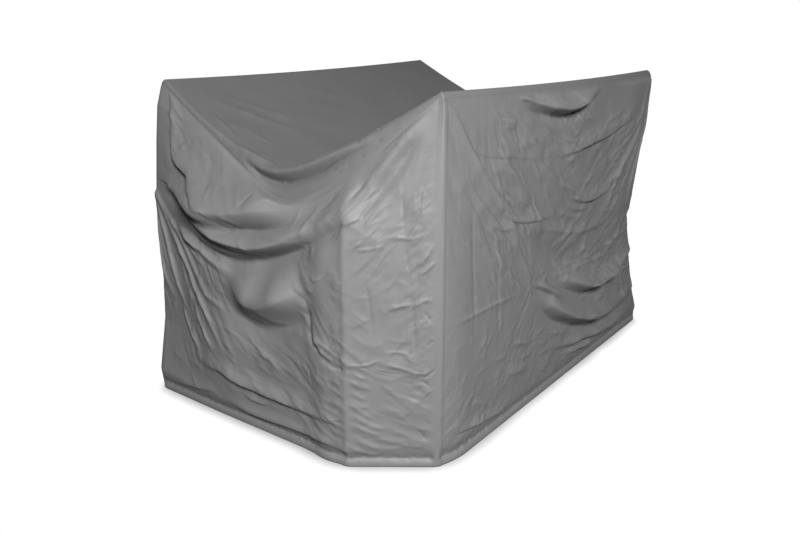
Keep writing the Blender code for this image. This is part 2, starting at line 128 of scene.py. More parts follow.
# A fold pushes the cloth out by lift, or in when lift is negative. left and right are its half
# widths on the two sides of its path. A bell is soft on both sides, a swag is soft on the left
# and breaks off sharply on the right, a ledge breaks off there along an even slope, and a crease
# is sharp on both sides. first and last are what is left of it at the ends of its path, which
# lists (across, height), or (x, y) on the top panel.
Fold = namedtuple("Fold", "name kind lift left right first last path")
TOP_FOLDS = (
    Fold("rim_hollow", "bell", -0.023, 0.012, 0.022, 0.0, 0.0,
         ((-0.722, 0.150), (-0.738, 0.100), (-0.748, 0.050), (-0.752, 0.000), (-0.754, -0.060),
          (-0.750, -0.120), (-0.742, -0.180), (-0.732, -0.240), (-0.718, -0.320))),
    Fold("rim_lip", "ledge", 0.015, 0.018, 0.012, 0.0, 0.0,
         ((-0.706, 0.160), (-0.722, 0.090), (-0.732, 0.020), (-0.736, -0.060), (-0.733, -0.140),
          (-0.722, -0.220), (-0.708, -0.300), (-0.690, -0.380))),
    Fold("rim_crease", "swag", 0.007, 0.016, 0.005, 0.0, 0.0,
         ((-0.700, 0.200), (-0.702, 0.140), (-0.702, 0.080), (-0.704, 0.020))),
    Fold("band_hollow", "bell", -0.006, 0.012, 0.016, 0.0, 0.0,
         ((-0.700, 0.350), (-0.725, 0.290), (-0.745, 0.240), (-0.760, 0.190), (-0.775, 0.130))),
    Fold("slope_crease", "crease", 0.003, 0.014, 0.020, 0.0, 0.0,
         ((-0.62, 0.47), (-0.52, 0.36), (-0.42, 0.27), (-0.33, 0.20))),
    Fold("second_slope_crease", "crease", 0.002, 0.012, 0.016, 0.0, 0.0,
         ((-0.55, 0.46), (-0.42, 0.36), (-0.30, 0.29))),
)

# A narrow crease stands up by lift, or is pressed in when lift is negative.
Crease = namedtuple("Crease", "lift width path")
TOP_CREASES = (
    Crease(0.0030, 0.006, ((-0.643, 0.371), (-0.647, 0.310), (-0.653, 0.260), (-0.674, 0.209))),
    Crease(0.0025, 0.006, ((-0.583, 0.248), (-0.569, 0.212), (-0.557, 0.167))),
    Crease(-0.0035, 0.004, ((-0.735, 0.105), (-0.745, 0.072), (-0.757, 0.046))),
    Crease(-0.0030, 0.004, ((-0.742, 0.020), (-0.752, -0.005), (-0.764, -0.030))),
    Crease(-0.0030, 0.004, ((-0.744, -0.010), (-0.755, -0.035), (-0.766, -0.060))),
    Crease(0.0030, 0.005, ((-0.712, 0.290), (-0.738, 0.220), (-0.762, 0.150), (-0.785, 0.090))),
    Crease(0.0025, 0.006, ((-0.668, 0.150), (-0.660, 0.080), (-0.664, 0.010))),
)

# Small creases strewn between two corners of a part of the cloth
Scatter = namedtuple("Scatter", "kind low high count length angle spread lift width")
TOP_SCATTER = (
    Scatter("crease", (-0.66, -0.42), (-0.45, 0.42), 26, 0.050, 35.0, 60.0, 0.0010, 0.006),
    Scatter("bell", (-0.66, -0.46), (0.66, 0.46), 26, 0.220, 10.0, 50.0, 0.0016, 0.022),
    Scatter("crease", (-0.775, -0.40), (-0.70, 0.30), 34, 0.026, 0.0, 35.0, -0.0012, 0.004),
)

# Crumpled cloth between two corners of a part: ridges size[0] long and size[1] apart, turned by
# angle in degrees
Crumple = namedtuple("Crumple", "low high size angle depth")
TOP_CRUMPLES = (
    Crumple((-0.74, -0.48), (-0.30, 0.50), (0.160, 0.050), 40.0, 0.0012),
    Crumple((-0.80, -0.48), (-0.66, 0.50), (0.050, 0.024), 20.0, 0.0014),
    Crumple((-0.30, -0.48), (0.74, 0.48), (0.300, 0.080), 15.0, 0.0010),
)
CRUMPLE_FADE = 0.06  # crumpling runs out over this distance inside its corners
CRUMPLE_WARP = 0.7  # how much the ridges wander, in their own sizes
FINER = 2.3  # the smaller ridges among them are this many times as close
FINER_SHARE = 0.45
TOP_SCATTER_SEED = 11
TOP_CRUMPLE_SEED = 12
# The cloth's bend, which pales standing creases as wear and painted highlight and darkens sunken ones
# as painted shade
CREASE_TONE_STEP = 1  # grid steps over which the cloth's bend is felt
CREASE_TONE_DEPTH = 0.0005  # a bend of this depth is nearly a full crease


def mix(a, b, share):
    return a + (b - a) * share


def smooth(share):
    """An S-shaped step from 0 to 1."""
    share = np.clip(share, 0.0, 1.0)
    return share * share * (3.0 - 2.0 * share)


def rim_split(share):
    """The place between the rims as 0 to 1, and how far past a rim, from -1 to 1 at the seams."""
    inner = np.clip((share - BAND_SHARE) / (1.0 - 2.0 * BAND_SHARE), 0.0, 1.0)
    past = np.clip(share / BAND_SHARE - 1.0, -1.0, 0.0)
    past = past + np.clip((share - 1.0) / BAND_SHARE + 1.0, 0.0, 1.0)
    return inner, past


def valley_share(across):
    """0 at the bottom of the valley, 1 at both ridges."""
    rounding = VALLEY_ROUND**VALLEY_POWER
    rise = (across**2 + VALLEY_ROUND**2) ** (VALLEY_POWER / 2.0) - rounding
    return rise / ((1.0 + VALLEY_ROUND**2) ** (VALLEY_POWER / 2.0) - rounding)


def band_out(past):
    return np.sin(BAND_TURN * np.abs(past)) / np.sin(BAND_TURN)


def band_down(past):
    return (1.0 - np.cos(BAND_TURN * np.abs(past))) / (1.0 - np.cos(BAND_TURN))


def smooth_path(points):
    """A Catmull-Rom curve through the path's points."""
    points = np.array(points)
    points = np.vstack([2.0 * points[0] - points[1], points, 2.0 * points[-1] - points[-2]])
    share = np.linspace(0.0, 1.0, PATH_STEPS, endpoint=False)[:, None]
    pieces = []
    for a, b, c, d in zip(points, points[1:], points[2:], points[3:]):
        curve = 2.0 * b + (c - a) * share
        curve = curve + (2.0 * a - 5.0 * b + 4.0 * c - d) * share**2
        curve = curve + (3.0 * b - a - 3.0 * c + d) * share**3
        pieces.append(0.5 * curve)
    pieces.append(points[-2][None, :])
    return np.vstack(pieces)


def band_size(rows, side):
    """How far a band reaches out and drops at each place from side to side."""
    curve = smooth_path(rows)
    reach = np.interp(side, curve[:, 0], curve[:, 1])
    return reach, np.interp(side, curve[:, 0], curve[:, 2])


def top_point(along, across):
    """The top panel's surface: along is 0 at the near seam, across is 0 at the -Y seam."""
    inner_along, past_end = rim_split(along)
    inner_across, past_side = rim_split(across)
    side = 2.0 * inner_across - 1.0
    end = 2.0 * inner_along - 1.0
    bulge = RIM_BULGE * (1.0 - side**2)
    near_x = mix(NEAR_RIGHT.x, NEAR_LEFT.x, inner_across) - bulge
    far_x = mix(FAR_RIGHT.x, FAR_LEFT.x, inner_across) + bulge
    x = mix(near_x, far_x, inner_along)
    right_y = mix(NEAR_RIGHT.y, FAR_RIGHT.y, inner_along)
    left_y = mix(NEAR_LEFT.y, FAR_LEFT.y, inner_along)
    y = mix(right_y, left_y, inner_across)
    right_z = mix(NEAR_RIGHT.z, FAR_RIGHT.z, inner_along)
    left_z = mix(NEAR_LEFT.z, FAR_LEFT.z, inner_along)
    ridge = mix(right_z, left_z, inner_across) - RIDGE_DIP * (1.0 - end**2)
    sag = mix(MIDDLE_SAG, END_SAG, end**2)
    z = ridge - sag * (1.0 - valley_share(side))
    near_reach, near_drop = band_size(NEAR_BAND, side)
    far_reach, far_drop = band_size(FAR_BAND, side)
    end_reach = np.where(past_end < 0.0, near_reach, far_reach)
    end_drop = np.where(past_end < 0.0, near_drop, far_drop)
    x = x + np.sign(past_end) * end_reach * band_out(past_end)
    y = y + np.sign(past_side) * SIDE_BAND_REACH * band_out(past_side)
    z = z - np.hypot(end_drop * band_down(past_end), SIDE_BAND_DROP * band_down(past_side))
    return np.stack([x, y, z], axis=-1)


def divisions(count, band_columns, spread=(0.5, 0.5)):
    """Even shares from seam to seam, with narrower ones on the turned-down band at each side.

    The columns up to the first share of spread are spread out evenly to the second.
    """
    band = np.linspace(0.0, BAND_SHARE, band_columns + 1)
    inner = np.linspace(BAND_SHARE, 1.0 - BAND_SHARE, count - 2 * band_columns + 1)
    inner = np.interp(inner, (BAND_SHARE, spread[0], 1.0 - BAND_SHARE),
                      (BAND_SHARE, spread[1], 1.0 - BAND_SHARE))
    return np.concatenate([band[:-1], inner, 1.0 - band[-2::-1]])


def one_fold(fold, places):
    """How far one fold moves the cloth at each of a list of places."""
    path = smooth_path(fold.path)
    run = path[1:] - path[:-1]
    offset = places[:, None, :] - path[:-1]
    along = np.clip((offset * run).sum(-1) / (run**2).sum(-1), 0.0, 1.0)
    distance = np.linalg.norm(offset - along[..., None] * run, axis=-1)
    nearest = distance.argmin(axis=-1)
    rows = np.arange(len(places))
    distance = distance[rows, nearest]
    side = (run[:, 0] * offset[..., 1] - run[:, 1] * offset[..., 0])[rows, nearest]
    share = (nearest + along[rows, nearest]) / len(run)
    width = np.where(side > 0.0, fold.left, fold.right)
    bell = np.exp(-((distance / width) ** 2))
    sharp = np.exp((CREASE_TIP - np.hypot(distance, CREASE_TIP)) / width)
    if fold.kind == "swag":
        shape = np.where(side > 0.0, bell, sharp)
    elif fold.kind == "ledge":
        drop = np.clip(1.0 - distance / width, 0.0, 1.0)
        shape = np.where(side > 0.0, bell, mix(smooth(drop), drop, LEDGE_EVENNESS))
    else:
        shape = sharp if fold.kind == "crease" else bell
    strength = np.where(share < 0.5, fold.first, fold.last)
    strength = mix(strength, 1.0, smooth(2.0 * np.minimum(share, 1.0 - share) * FOLD_TAPER))
    return fold.lift * shape * strength


def fold_lift(folds, places):
    """How far all the folds together move the cloth at each place of a grid."""
    flat = places.reshape(-1, 2)
    lift = np.zeros(len(flat))
    for fold in folds:
        path = np.array(fold.path)
        reach = FOLD_REACH * max(fold.left, fold.right) + FOLD_MARGIN
        near = ((flat > path.min(0) - reach) & (flat < path.max(0) + reach)).all(axis=-1)
        lift[near] += one_fold(fold, flat[near])
    return lift.reshape(places.shape[:-1])


def narrow(creases):
    """Short table rows of narrow creases as folds, each softer on its left side."""
    return tuple(
        Fold("narrow", "swag", row.lift, NARROW_SOFTNESS * row.width, row.width, 0.0, 0.0, row.path)
        for row in creases
    )


def scattered(rows, seed):
    """Small creases strewn over parts of the cloth, uneven in length, turn and lift."""
    chance = np.random.default_rng(seed)
    folds = []
    for row in rows:
        for _ in range(row.count):
            middle = mix(np.array(row.low), np.array(row.high), chance.random(2))
            turn = math.radians(row.angle + row.spread * chance.uniform(-1.0, 1.0))
            half = 0.5 * row.length * chance.uniform(*SCATTER_LENGTHS)
            half = half * np.array([math.cos(turn), math.sin(turn)])
            bend = SCATTER_BEND * chance.uniform(-1.0, 1.0) * np.array([-half[1], half[0]])
            lift = row.lift * chance.uniform(*SCATTER_LIFTS)
            path = (middle - half, middle + bend, middle + half)
            soft = SCATTER_SOFTNESS * row.width
            folds.append(Fold("scattered", row.kind, lift, soft, row.width, 0.0, 0.0, path))
    return tuple(folds)


def lattice_noise(places, chance):
    """Smooth uneven waves from -1 to 1, whose bumps are about one unit wide."""
    places = places - places.min(axis=(0, 1))
    low = places.astype(int)
    table = chance.uniform(-1.0, 1.0, low.max(axis=(0, 1)) + 2)
    share = smooth(places - low)
    x = low[..., 0]
    y = low[..., 1]
    near = mix(table[x, y], table[x + 1, y], share[..., 0])
    far = mix(table[x, y + 1], table[x + 1, y + 1], share[..., 0])
    return mix(near, far, share[..., 1])


def crumpled(rows, places, seed):
    """Sharp wandering ridges in patches, which fade out around each crumpled part."""
    chance = np.random.default_rng(seed)
    lift = np.zeros(places.shape[:2])
    for row in rows:
        inside = smooth((places - row.low) / CRUMPLE_FADE) * smooth((row.high - places) / CRUMPLE_FADE)
        turn = math.radians(row.angle)
        lengthways = places @ np.array([math.cos(turn), math.sin(turn)])
        sideways = places @ np.array([-math.sin(turn), math.cos(turn)])
        run = np.stack([lengthways / row.size[0], sideways / row.size[1]], axis=-1)
        run[..., 1] += CRUMPLE_WARP * lattice_noise(run * (1.0, 0.5), chance)
        ridge = 0.5 - np.abs(lattice_noise(run, chance))
        finer = 0.5 - np.abs(lattice_noise(FINER * run, chance))
        patch = smooth(0.6 + lattice_noise(run * (0.5, 0.25), chance))
        lift += row.depth * inside.prod(axis=-1) * patch * (ridge + FINER_SHARE * finer)
    return lift


def grid_normals(grid):
    """Outward normals of a grid whose rows run up and whose columns run to the right."""
    right = np.gradient(grid, axis=0)
    up = np.gradient(grid, axis=1)
    normal = np.cross(right, up)
    return normal / np.linalg.norm(normal, axis=-1, keepdims=True)


def crease_wear_and_painted_light(grid):
    """0.5 on flat cloth, up to 1 along standing creases and down to 0 in sunken ones: the mark that
    pales standing creases, partly as rubbed wear and partly as a painted highlight, and darkens sunken
    ones as painted shade.
    """
    bend = np.zeros(grid.shape[:2])
    step = CREASE_TONE_STEP
    mean = grid[2 * step :, step:-step] + grid[: -2 * step, step:-step]
    mean = mean + grid[step:-step, 2 * step :] + grid[step:-step, : -2 * step]
    inner = grid[step:-step, step:-step]
    inward = ((inner - mean / 4.0) * grid_normals(grid)[step:-step, step:-step]).sum(-1)
    bend[step:-step, step:-step] = inward
    return 0.5 + 0.5 * np.tanh(bend / CREASE_TONE_DEPTH)


def colour(text):
    """An sRGB hex colour as linear red, green, blue and alpha."""
    parts = [int(text[i : i + 2], 16) / 255.0 for i in (1, 3, 5)]
    linear = [c / 12.92 if c <= 0.04045 else ((c + 0.055) / 1.055) ** 2.4 for c in parts]
    return (*linear, 1.0)


def add_node(tree, kind, settings=None, links=None):
    """A node with its settings and input values, and links from other nodes' outputs."""
    node = tree.nodes.new(kind)
    for key, value in (settings or {}).items():
        if isinstance(key, int) or key in node.inputs:
            node.inputs[key].default_value = value
        else:
            setattr(node, key, value)
    for key, output in (links or {}).items():
        tree.links.new(output, node.inputs[key])
    return node


def coated_polyester(name, face_colour, pale_colour, painted_shade_colour):
    """Plain-weave polyester under a thin coating: dull grey, a low sheen, and a tone that drifts a
    little where the coating lies thicker. Its tone also pales on standing creases, partly as rubbed
    wear and partly as a painted highlight, and darkens in sunken ones as painted shade.
    """
    material = bpy.data.materials.new(name)
    material.use_nodes = True
    tree = material.node_tree
    shader = tree.nodes["Principled BSDF"]
    shader.inputs["IOR"].default_value = 1.47
    shader.inputs["Sheen Weight"].default_value = 0.08
    shader.inputs["Sheen Roughness"].default_value = 0.5
    uv = add_node(tree, "ShaderNodeUVMap", {"uv_map": "cut_cloth"})
    drift = add_node(tree, "ShaderNodeTexNoise", {"Scale": 7.0, "Detail": 4.0},
                     {"Vector": uv.outputs["UV"]})
    base = add_node(tree, "ShaderNodeMix", {"data_type": "RGBA", 6: colour(face_colour),
                                            7: colour(pale_colour)},
                    {"Factor": drift.outputs["Fac"]})
    # Standing creases pale towards the pale colour, partly as rubbed wear and partly as painted
    # highlight, and sunken ones darken towards the painted shade colour.
    crease = add_node(tree, "ShaderNodeAttribute", {"attribute_name": "crease_wear_and_painted_light"})
    rubbed_and_lit = add_node(tree, "ShaderNodeMapRange", {1: 0.55, 2: 1.0, 3: 0.0, 4: 0.75},
                      {0: crease.outputs["Fac"]})
    worn_and_lit = add_node(tree, "ShaderNodeMix", {"data_type": "RGBA", 7: colour(pale_colour)},
                    {"Factor": rubbed_and_lit.outputs[0], 6: base.outputs[2]})
    sunk = add_node(tree, "ShaderNodeMapRange", {1: 0.45, 2: 0.0, 3: 0.0, 4: 0.8},
                    {0: crease.outputs["Fac"]})
    tone = add_node(tree, "ShaderNodeMix", {"data_type": "RGBA", 7: colour(painted_shade_colour)},
                    {"Factor": sunk.outputs[0], 6: worn_and_lit.outputs[2]})
    dull = add_node(tree, "ShaderNodeMapRange", {3: 0.47, 4: 0.60}, {0: drift.outputs["Fac"]})
    # warp and weft, a little over half a millimetre from thread to thread
    warp = add_node(tree, "ShaderNodeTexWave", {"Scale": WEAVE_SCALE, "bands_direction": "X"},
                    {"Vector": uv.outputs["UV"]})
    weft = add_node(tree, "ShaderNodeTexWave", {"Scale": WEAVE_SCALE, "bands_direction": "Y"},
                    {"Vector": uv.outputs["UV"]})
    weave = add_node(tree, "ShaderNodeMath", {"operation": "MULTIPLY"},
                     {0: warp.outputs["Fac"], 1: weft.outputs["Fac"]})
    bump = add_node(tree, "ShaderNodeBump", {"Strength": 0.35, "Distance": WEAVE_DEPTH},
                    {"Height": weave.outputs[0]})
    tree.links.new(tone.outputs[2], shader.inputs["Base Color"])
    tree.links.new(dull.outputs[0], shader.inputs["Roughness"])
    tree.links.new(bump.outputs["Normal"], shader.inputs["Normal"])
    return material


def sew_panel(name, grid, cut, material):
    """A panel's mesh, from a grid of points and the place of each in the flat cut cloth."""
    # the mark for paling standing creases, partly as wear and partly as painted highlight, and for
    # painted shade in sunken ones
    wear_and_light = crease_wear_and_painted_light(grid)
    columns = grid.shape[0] - 1
    rows = grid.shape[1] - 1
    sheet = bmesh.new()
    bmesh.ops.create_grid(sheet, x_segments=columns, y_segments=rows, size=1.0)
    layer = sheet.loops.layers.uv.new("cut_cloth")
    worn_and_lit = sheet.verts.layers.float.new("crease_wear_and_painted_light")
    cells = {}
    for vertex in sheet.verts:
        cell = (round((vertex.co.x + 1.0) * columns / 2.0), round((vertex.co.y + 1.0) * rows / 2.0))
        cells[vertex] = cell
        vertex.co = grid[cell]
        vertex[worn_and_lit] = wear_and_light[cell]
    for face in sheet.faces:
        for loop in face.loops:
            loop[layer].uv = cut[cells[loop.vert]]
    data = bpy.data.meshes.new(name)
    sheet.to_mesh(data)
    sheet.free()
    data.shade_smooth()
    data.materials.append(material)
    panel = bpy.data.objects.new(name, data)
    bpy.context.scene.collection.objects.link(panel)
    return panel


def cut_places(grid):
    """Where each point of a draped grid lies in the flat cloth, measured along it."""
    across = np.linalg.norm(np.diff(grid, axis=0), axis=-1).mean(axis=1)
    up = np.linalg.norm(np.diff(grid, axis=1), axis=-1)
    u = np.concatenate([[0.0], np.cumsum(across)])[:, None] * np.ones(grid.shape[1])
    v = np.concatenate([np.zeros((grid.shape[0], 1)), np.cumsum(up, axis=1)], axis=1)
    return np.stack([u, v], axis=-1)


along = divisions(TOP_ALONG, END_BAND_COLUMNS)[:, None]
across = divisions(TOP_ACROSS, SIDE_BAND_COLUMNS)[None, :]
top_grid = top_point(along + 0.0 * across, across + 0.0 * along)
# for its folds, the turned-down ends are measured as if they lay level
top_places = top_grid[..., :2].copy()
top_steps = np.linalg.norm(np.diff(top_grid, axis=0), axis=-1)
for step in range(END_BAND_COLUMNS):
    near_step = END_BAND_COLUMNS - 1 - step
    top_places[near_step, :, 0] = top_places[near_step + 1, :, 0] - top_steps[near_step]
    top_places[-1 - near_step, :, 0] = top_places[-2 - near_step, :, 0] + top_steps[-1 - near_step]
top_folds = TOP_FOLDS + narrow(TOP_CREASES) + scattered(TOP_SCATTER, TOP_SCATTER_SEED)
top_lift = fold_lift(top_folds, top_places)
top_lift = top_lift + crumpled(TOP_CRUMPLES, top_places, TOP_CRUMPLE_SEED)
for rim in (top_grid[:1], top_grid[-1:], top_grid[:, :1], top_grid[:, -1:]):
    top_lift = top_lift * smooth(np.linalg.norm(top_grid - rim, axis=-1) / SEAM_FADE)
top_grid = top_grid + grid_normals(top_grid) * top_lift[..., None]
# The last colour is painted shade for sunken creases. The second is the pale end of the drift and of
# the standing creases.
top_cloth = coated_polyester("coated_polyester_top", "#7b7b7b", "#858585", "#656565")
top_panel = sew_panel("top_panel_cloth", top_grid, cut_places(top_grid), top_cloth)
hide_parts("top_panel")
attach(top_panel, "root")

# ---------------------------------------------------------------- near end wall
# It hangs from the low rim between the two ridges. Its lower half stands out to a square upright
# corner, and the loose cloth beside that corner falls in deep swags from the left one.

ARM_Y = -0.307  # where the wall has its square upright corner
CORNER_POINTS = 33  # on the bend of each corner
Corner = namedtuple("Corner", "name x y radius")
HEM = (
    Corner("near_right", -0.650, -0.508, 0.016),
    Corner("arm", -0.798, ARM_Y, 0.008),
    Corner("near_left", -0.793, 0.535, 0.040),
    Corner("far_left", 0.792, 0.535, 0.060),
    Corner("far_right", 0.810, -0.532, 0.040),
    Corner("near_side", -0.578, -0.532, 0.045),
)

END_SHOULDER = 0.62  # below its shoulder a wall hangs straight, and above it leans in to the seam
END_LEAN_POWER = 1.35
HIGHEST_SHOULDER = 0.9  # as a share of the seam's height
ARM_SHOULDER = 0.69
ARM_WIDTH = 0.12  # the square corner's higher shoulder fades out this far from it
SIDE_LEAN_POWER = 1.6
EDGE_FADE = 2.6  # how fast the shape of a corner edge dies out along its walls
WELT_WIDTH = 0.016
WELT_STEP = 0.004
WELT_RISE = 0.0016
HEM_DEPTH = 0.028
HEM_ROWS = 6
HEM_LAYER = 0.0015  # from the wall to its turned-up layer
STITCH_HEIGHT = 0.025
STITCH_PITCH = 0.0045
STITCH_LENGTH = 0.0034
THREAD_RADIUS = 0.0004
END_COLUMNS = 300
ARM_SPREAD = (0.62, 0.78)  # the columns lie closer together beside the square corner
NEAR_ROWS = 300
NEAR_END_SEED = 23
WALL_CRUMPLE_SEED = 5

# How far a corner edge stands off a straight line from hem to top, at shares of its height
EdgeRow = namedtuple("EdgeRow", "height off_x off_y")
NEAR_LEFT_EDGE = (
    EdgeRow(0.00, 0.000, 0.000),
    EdgeRow(0.07, -0.014, 0.000),
    EdgeRow(0.25, 0.006, 0.000),
    EdgeRow(0.50, -0.004, 0.000),
    EdgeRow(0.67, -0.021, 0.002),
    EdgeRow(0.83, -0.019, 0.002),
    EdgeRow(0.94, -0.014, 0.002),
    EdgeRow(1.00, 0.000, 0.000),
)
NEAR_RIGHT_EDGE = (
    EdgeRow(0.00, 0.000, 0.000),
    EdgeRow(1.00, 0.000, 0.000),
)
FAR_RIGHT_EDGE = (
    EdgeRow(0.00, 0.000, 0.000),
    EdgeRow(0.06, 0.008, 0.000),
    EdgeRow(0.14, -0.038, 0.002),
    EdgeRow(0.22, -0.068, 0.006),
    EdgeRow(0.34, -0.104, 0.010),
    EdgeRow(0.48, -0.138, 0.014),
    EdgeRow(0.63, -0.096, 0.010),
    EdgeRow(0.80, -0.052, 0.004),
    EdgeRow(1.00, 0.000, 0.000),
)
FAR_LEFT_EDGE = (
    EdgeRow(0.00, 0.000, 0.000),
    EdgeRow(0.35, -0.045, -0.008),
    EdgeRow(0.67, 0.010, 0.004),
    EdgeRow(1.00, 0.000, 0.000),
)

NEAR_END_FOLDS = (
    Fold("belly", "bell", 0.030, 0.150, 0.150, 1.0, 1.0,
         ((-0.200, 0.240), (-0.210, 0.400), (-0.220, 0.560))),
    # the swags that hang from the left corner below the rim
    Fold("high_lap", "ledge", 0.007, 0.030, 0.006, 0.5, 1.0,
         ((-0.492, 0.990), (-0.474, 0.945), (-0.459, 0.900), (-0.447, 0.860), (-0.437, 0.825),
          (-0.422, 0.795), (-0.400, 0.768))),
    Fold("low_lap", "ledge", 0.020, 0.040, 0.012, 0.2, 0.3,
         ((-0.440, 0.820), (-0.420, 0.790), (-0.385, 0.768), (-0.345, 0.750), (-0.310, 0.735),
          (-0.282, 0.708), (-0.255, 0.690), (-0.222, 0.668), (-0.190, 0.655))),
    Fold("upper_swag", "ledge", 0.050, 0.080, 0.036, 0.1, 0.0,
         ((-0.420, 0.700), (-0.345, 0.690), (-0.280, 0.672), (-0.220, 0.655), (-0.165, 0.650),
          (-0.100, 0.652), (-0.045, 0.658), (0.005, 0.668), (0.055, 0.680), (0.120, 0.700),
          (0.190, 0.725))),
    Fold("upper_groove", "bell", -0.022, 0.012, 0.015, 0.2, 0.0,
         ((-0.420, 0.678), (-0.345, 0.662), (-0.290, 0.642), (-0.215, 0.621), (-0.150, 0.616),
          (-0.090, 0.619), (-0.040, 0.626), (0.010, 0.638), (0.070, 0.655), (0.130, 0.680))),
    Fold("middle_swag", "ledge", 0.042, 0.028, 0.034, 0.0, 0.1,
         ((-0.520, 0.690), (-0.455, 0.700), (-0.395, 0.688), (-0.325, 0.662), (-0.260, 0.634),
          (-0.185, 0.608), (-0.120, 0.592), (-0.065, 0.585), (-0.010, 0.585), (0.045, 0.596),
          (0.100, 0.614), (0.155, 0.640), (0.200, 0.664), (0.250, 0.690))),
    Fold("deep_groove", "bell", -0.028, 0.018, 0.032, 0.0, 0.3,
         ((-0.365, 0.606), (-0.320, 0.582), (-0.277, 0.561), (-0.225, 0.540), (-0.175, 0.526),
          (-0.120, 0.521), (-0.070, 0.527), (0.015, 0.545), (0.080, 0.568), (0.145, 0.598),
          (0.210, 0.636), (0.260, 0.664), (0.300, 0.684))),
    Fold("groove_crease", "ledge", 0.018, 0.010, 0.022, 0.0, 0.0,
         ((-0.400, 0.590), (-0.364, 0.574), (-0.299, 0.550), (-0.250, 0.530), (-0.200, 0.508),
          (-0.150, 0.492), (-0.100, 0.478))),
    Fold("lower_swag", "bell", 0.024, 0.050, 0.050, 0.0, 0.0,
         ((-0.200, 0.500), (-0.060, 0.470), (0.025, 0.460), (0.095, 0.482), (0.170, 0.530))),
    Fold("crescent_lip", "ledge", 0.044, 0.050, 0.070, 0.0, 0.2,
         ((-0.140, 0.470), (-0.093, 0.441), (-0.044, 0.421), (0.008, 0.415), (0.058, 0.426),
          (0.110, 0.454), (0.150, 0.480), (0.180, 0.500))),
    Fold("crescent", "bell", -0.012, 0.022, 0.045, 0.2, 0.3,
         ((-0.140, 0.395), (-0.110, 0.367), (-0.064, 0.336), (0.003, 0.328), (0.065, 0.354),
          (0.110, 0.396), (0.150, 0.436), (0.185, 0.474))),
    # the fan of steep folds that hangs from the left corner
    Fold("fan_edge", "ledge", 0.009, 0.007, 0.016, 0.5, 0.0,
         ((-0.530, 0.650), (-0.525, 0.588), (-0.517, 0.506), (-0.505, 0.434), (-0.487, 0.379),
          (-0.460, 0.320))),
    Fold("fan_first", "ledge", 0.010, 0.008, 0.018, 0.5, 0.0,
         ((-0.527, 0.662), (-0.503, 0.598), (-0.472, 0.533), (-0.452, 0.468), (-0.420, 0.394),
          (-0.389, 0.336), (-0.362, 0.270))),
    Fold("fan_second", "ledge", 0.011, 0.009, 0.018, 0.5, 0.0,
         ((-0.520, 0.666), (-0.470, 0.604), (-0.422, 0.546), (-0.372, 0.500), (-0.330, 0.452),
          (-0.296, 0.400), (-0.262, 0.361), (-0.226, 0.316), (-0.190, 0.262), (-0.160, 0.215))),
    Fold("fan_third", "ledge", 0.008, 0.008, 0.018, 0.5, 0.0,
         ((-0.505, 0.655), (-0.436, 0.592), (-0.360, 0.536), (-0.300, 0.474), (-0.266, 0.440),
          (-0.238, 0.400), (-0.172, 0.372), (-0.135, 0.336))),
    Fold("low_fan", "ledge", 0.008, 0.007, 0.018, 0.0, 0.0,
         ((-0.405, 0.331), (-0.381, 0.297), (-0.356, 0.258), (-0.321, 0.216), (-0.290, 0.185))),
    Fold("second_low_fan", "ledge", 0.008, 0.007, 0.018, 0.0, 0.0,
         ((-0.317, 0.350), (-0.280, 0.301), (-0.244, 0.253), (-0.205, 0.210))),
    # the upright cloth at the square corner, and the broken folds beside it
    Fold("arm_post", "bell", 0.011, 0.045, 0.045, 1.0, 1.0,
         ((0.230, 0.02), (0.230, 0.30), (0.230, 0.60))),
    Fold("arm_edge", "crease", 0.0015, 0.007, 0.007, 1.0, 0.0,
         ((0.306, 0.02), (0.306, 0.35), (0.305, 0.60), (0.304, 0.71))),
    Fold("crumple", "crease", -0.006, 0.007, 0.008, 0.3, 0.3,
         ((0.151, 0.490), (0.166, 0.474), (0.178, 0.455), (0.181, 0.404), (0.188, 0.368),
          (0.203, 0.340), (0.230, 0.320), (0.263, 0.303), (0.310, 0.292))),
    # low folds that run to the foot of the square corner
    Fold("foot_ridge", "ledge", 0.016, 0.026, 0.016, 0.0, 0.3,
         ((-0.330, 0.180), (-0.265, 0.160), (-0.185, 0.158), (-0.115, 0.140), (-0.060, 0.136),
          (0.000, 0.133), (0.060, 0.130), (0.120, 0.128), (0.190, 0.128), (0.260, 0.135))),
    Fold("second_foot_ridge", "ledge", 0.006, 0.012, 0.008, 0.0, 0.0,
         ((-0.105, 0.100), (-0.045, 0.093), (0.010, 0.098))),
    Fold("hem_ridge_left", "ledge", 0.005, 0.020, 0.010, 0.3, 0.0,
         ((-0.450, 0.046), (-0.400, 0.050), (-0.340, 0.058), (-0.260, 0.070), (-0.210, 0.068))),
    Fold("hem_ridge", "ledge", 0.009, 0.020, 0.010, 0.0, 0.4,
         ((-0.200, 0.066), (-0.136, 0.052), (-0.082, 0.046), (-0.004, 0.046), (0.087, 0.052),
          (0.160, 0.054), (0.240, 0.058), (0.290, 0.046))),
    # drag folds from the right corner
    Fold("corner_drag", "bell", 0.012, 0.018, 0.020, 0.2, 0.0,
         ((0.478, 0.975), (0.455, 0.945), (0.425, 0.905), (0.400, 0.870), (0.375, 0.833),
          (0.350, 0.797), (0.330, 0.770))),
    Fold("corner_valley", "bell", -0.010, 0.016, 0.014, 0.0, 0.0,
         ((0.462, 0.920), (0.436, 0.882), (0.412, 0.842), (0.388, 0.800), (0.360, 0.752),
          (0.345, 0.715))),
    Fold("lobe_ridge", "swag", 0.008, 0.012, 0.008, 0.0, 0.0,
         ((-0.040, 0.672), (0.010, 0.692), (0.060, 0.712), (0.120, 0.735), (0.180, 0.760),
          (0.230, 0.790), (0.270, 0.820))),
    # the hem is pinched in along its stitching
    Fold("hem_pinch", "bell", -0.0060, 0.018, 0.012, 1.0, 1.0, ((-0.60, 0.027), (0.56, 0.027))),
    Fold("hem_stitching", "crease", -0.0016, 0.003, 0.003, 1.0, 1.0, ((-0.60, 0.026), (0.56, 0.026))),
)
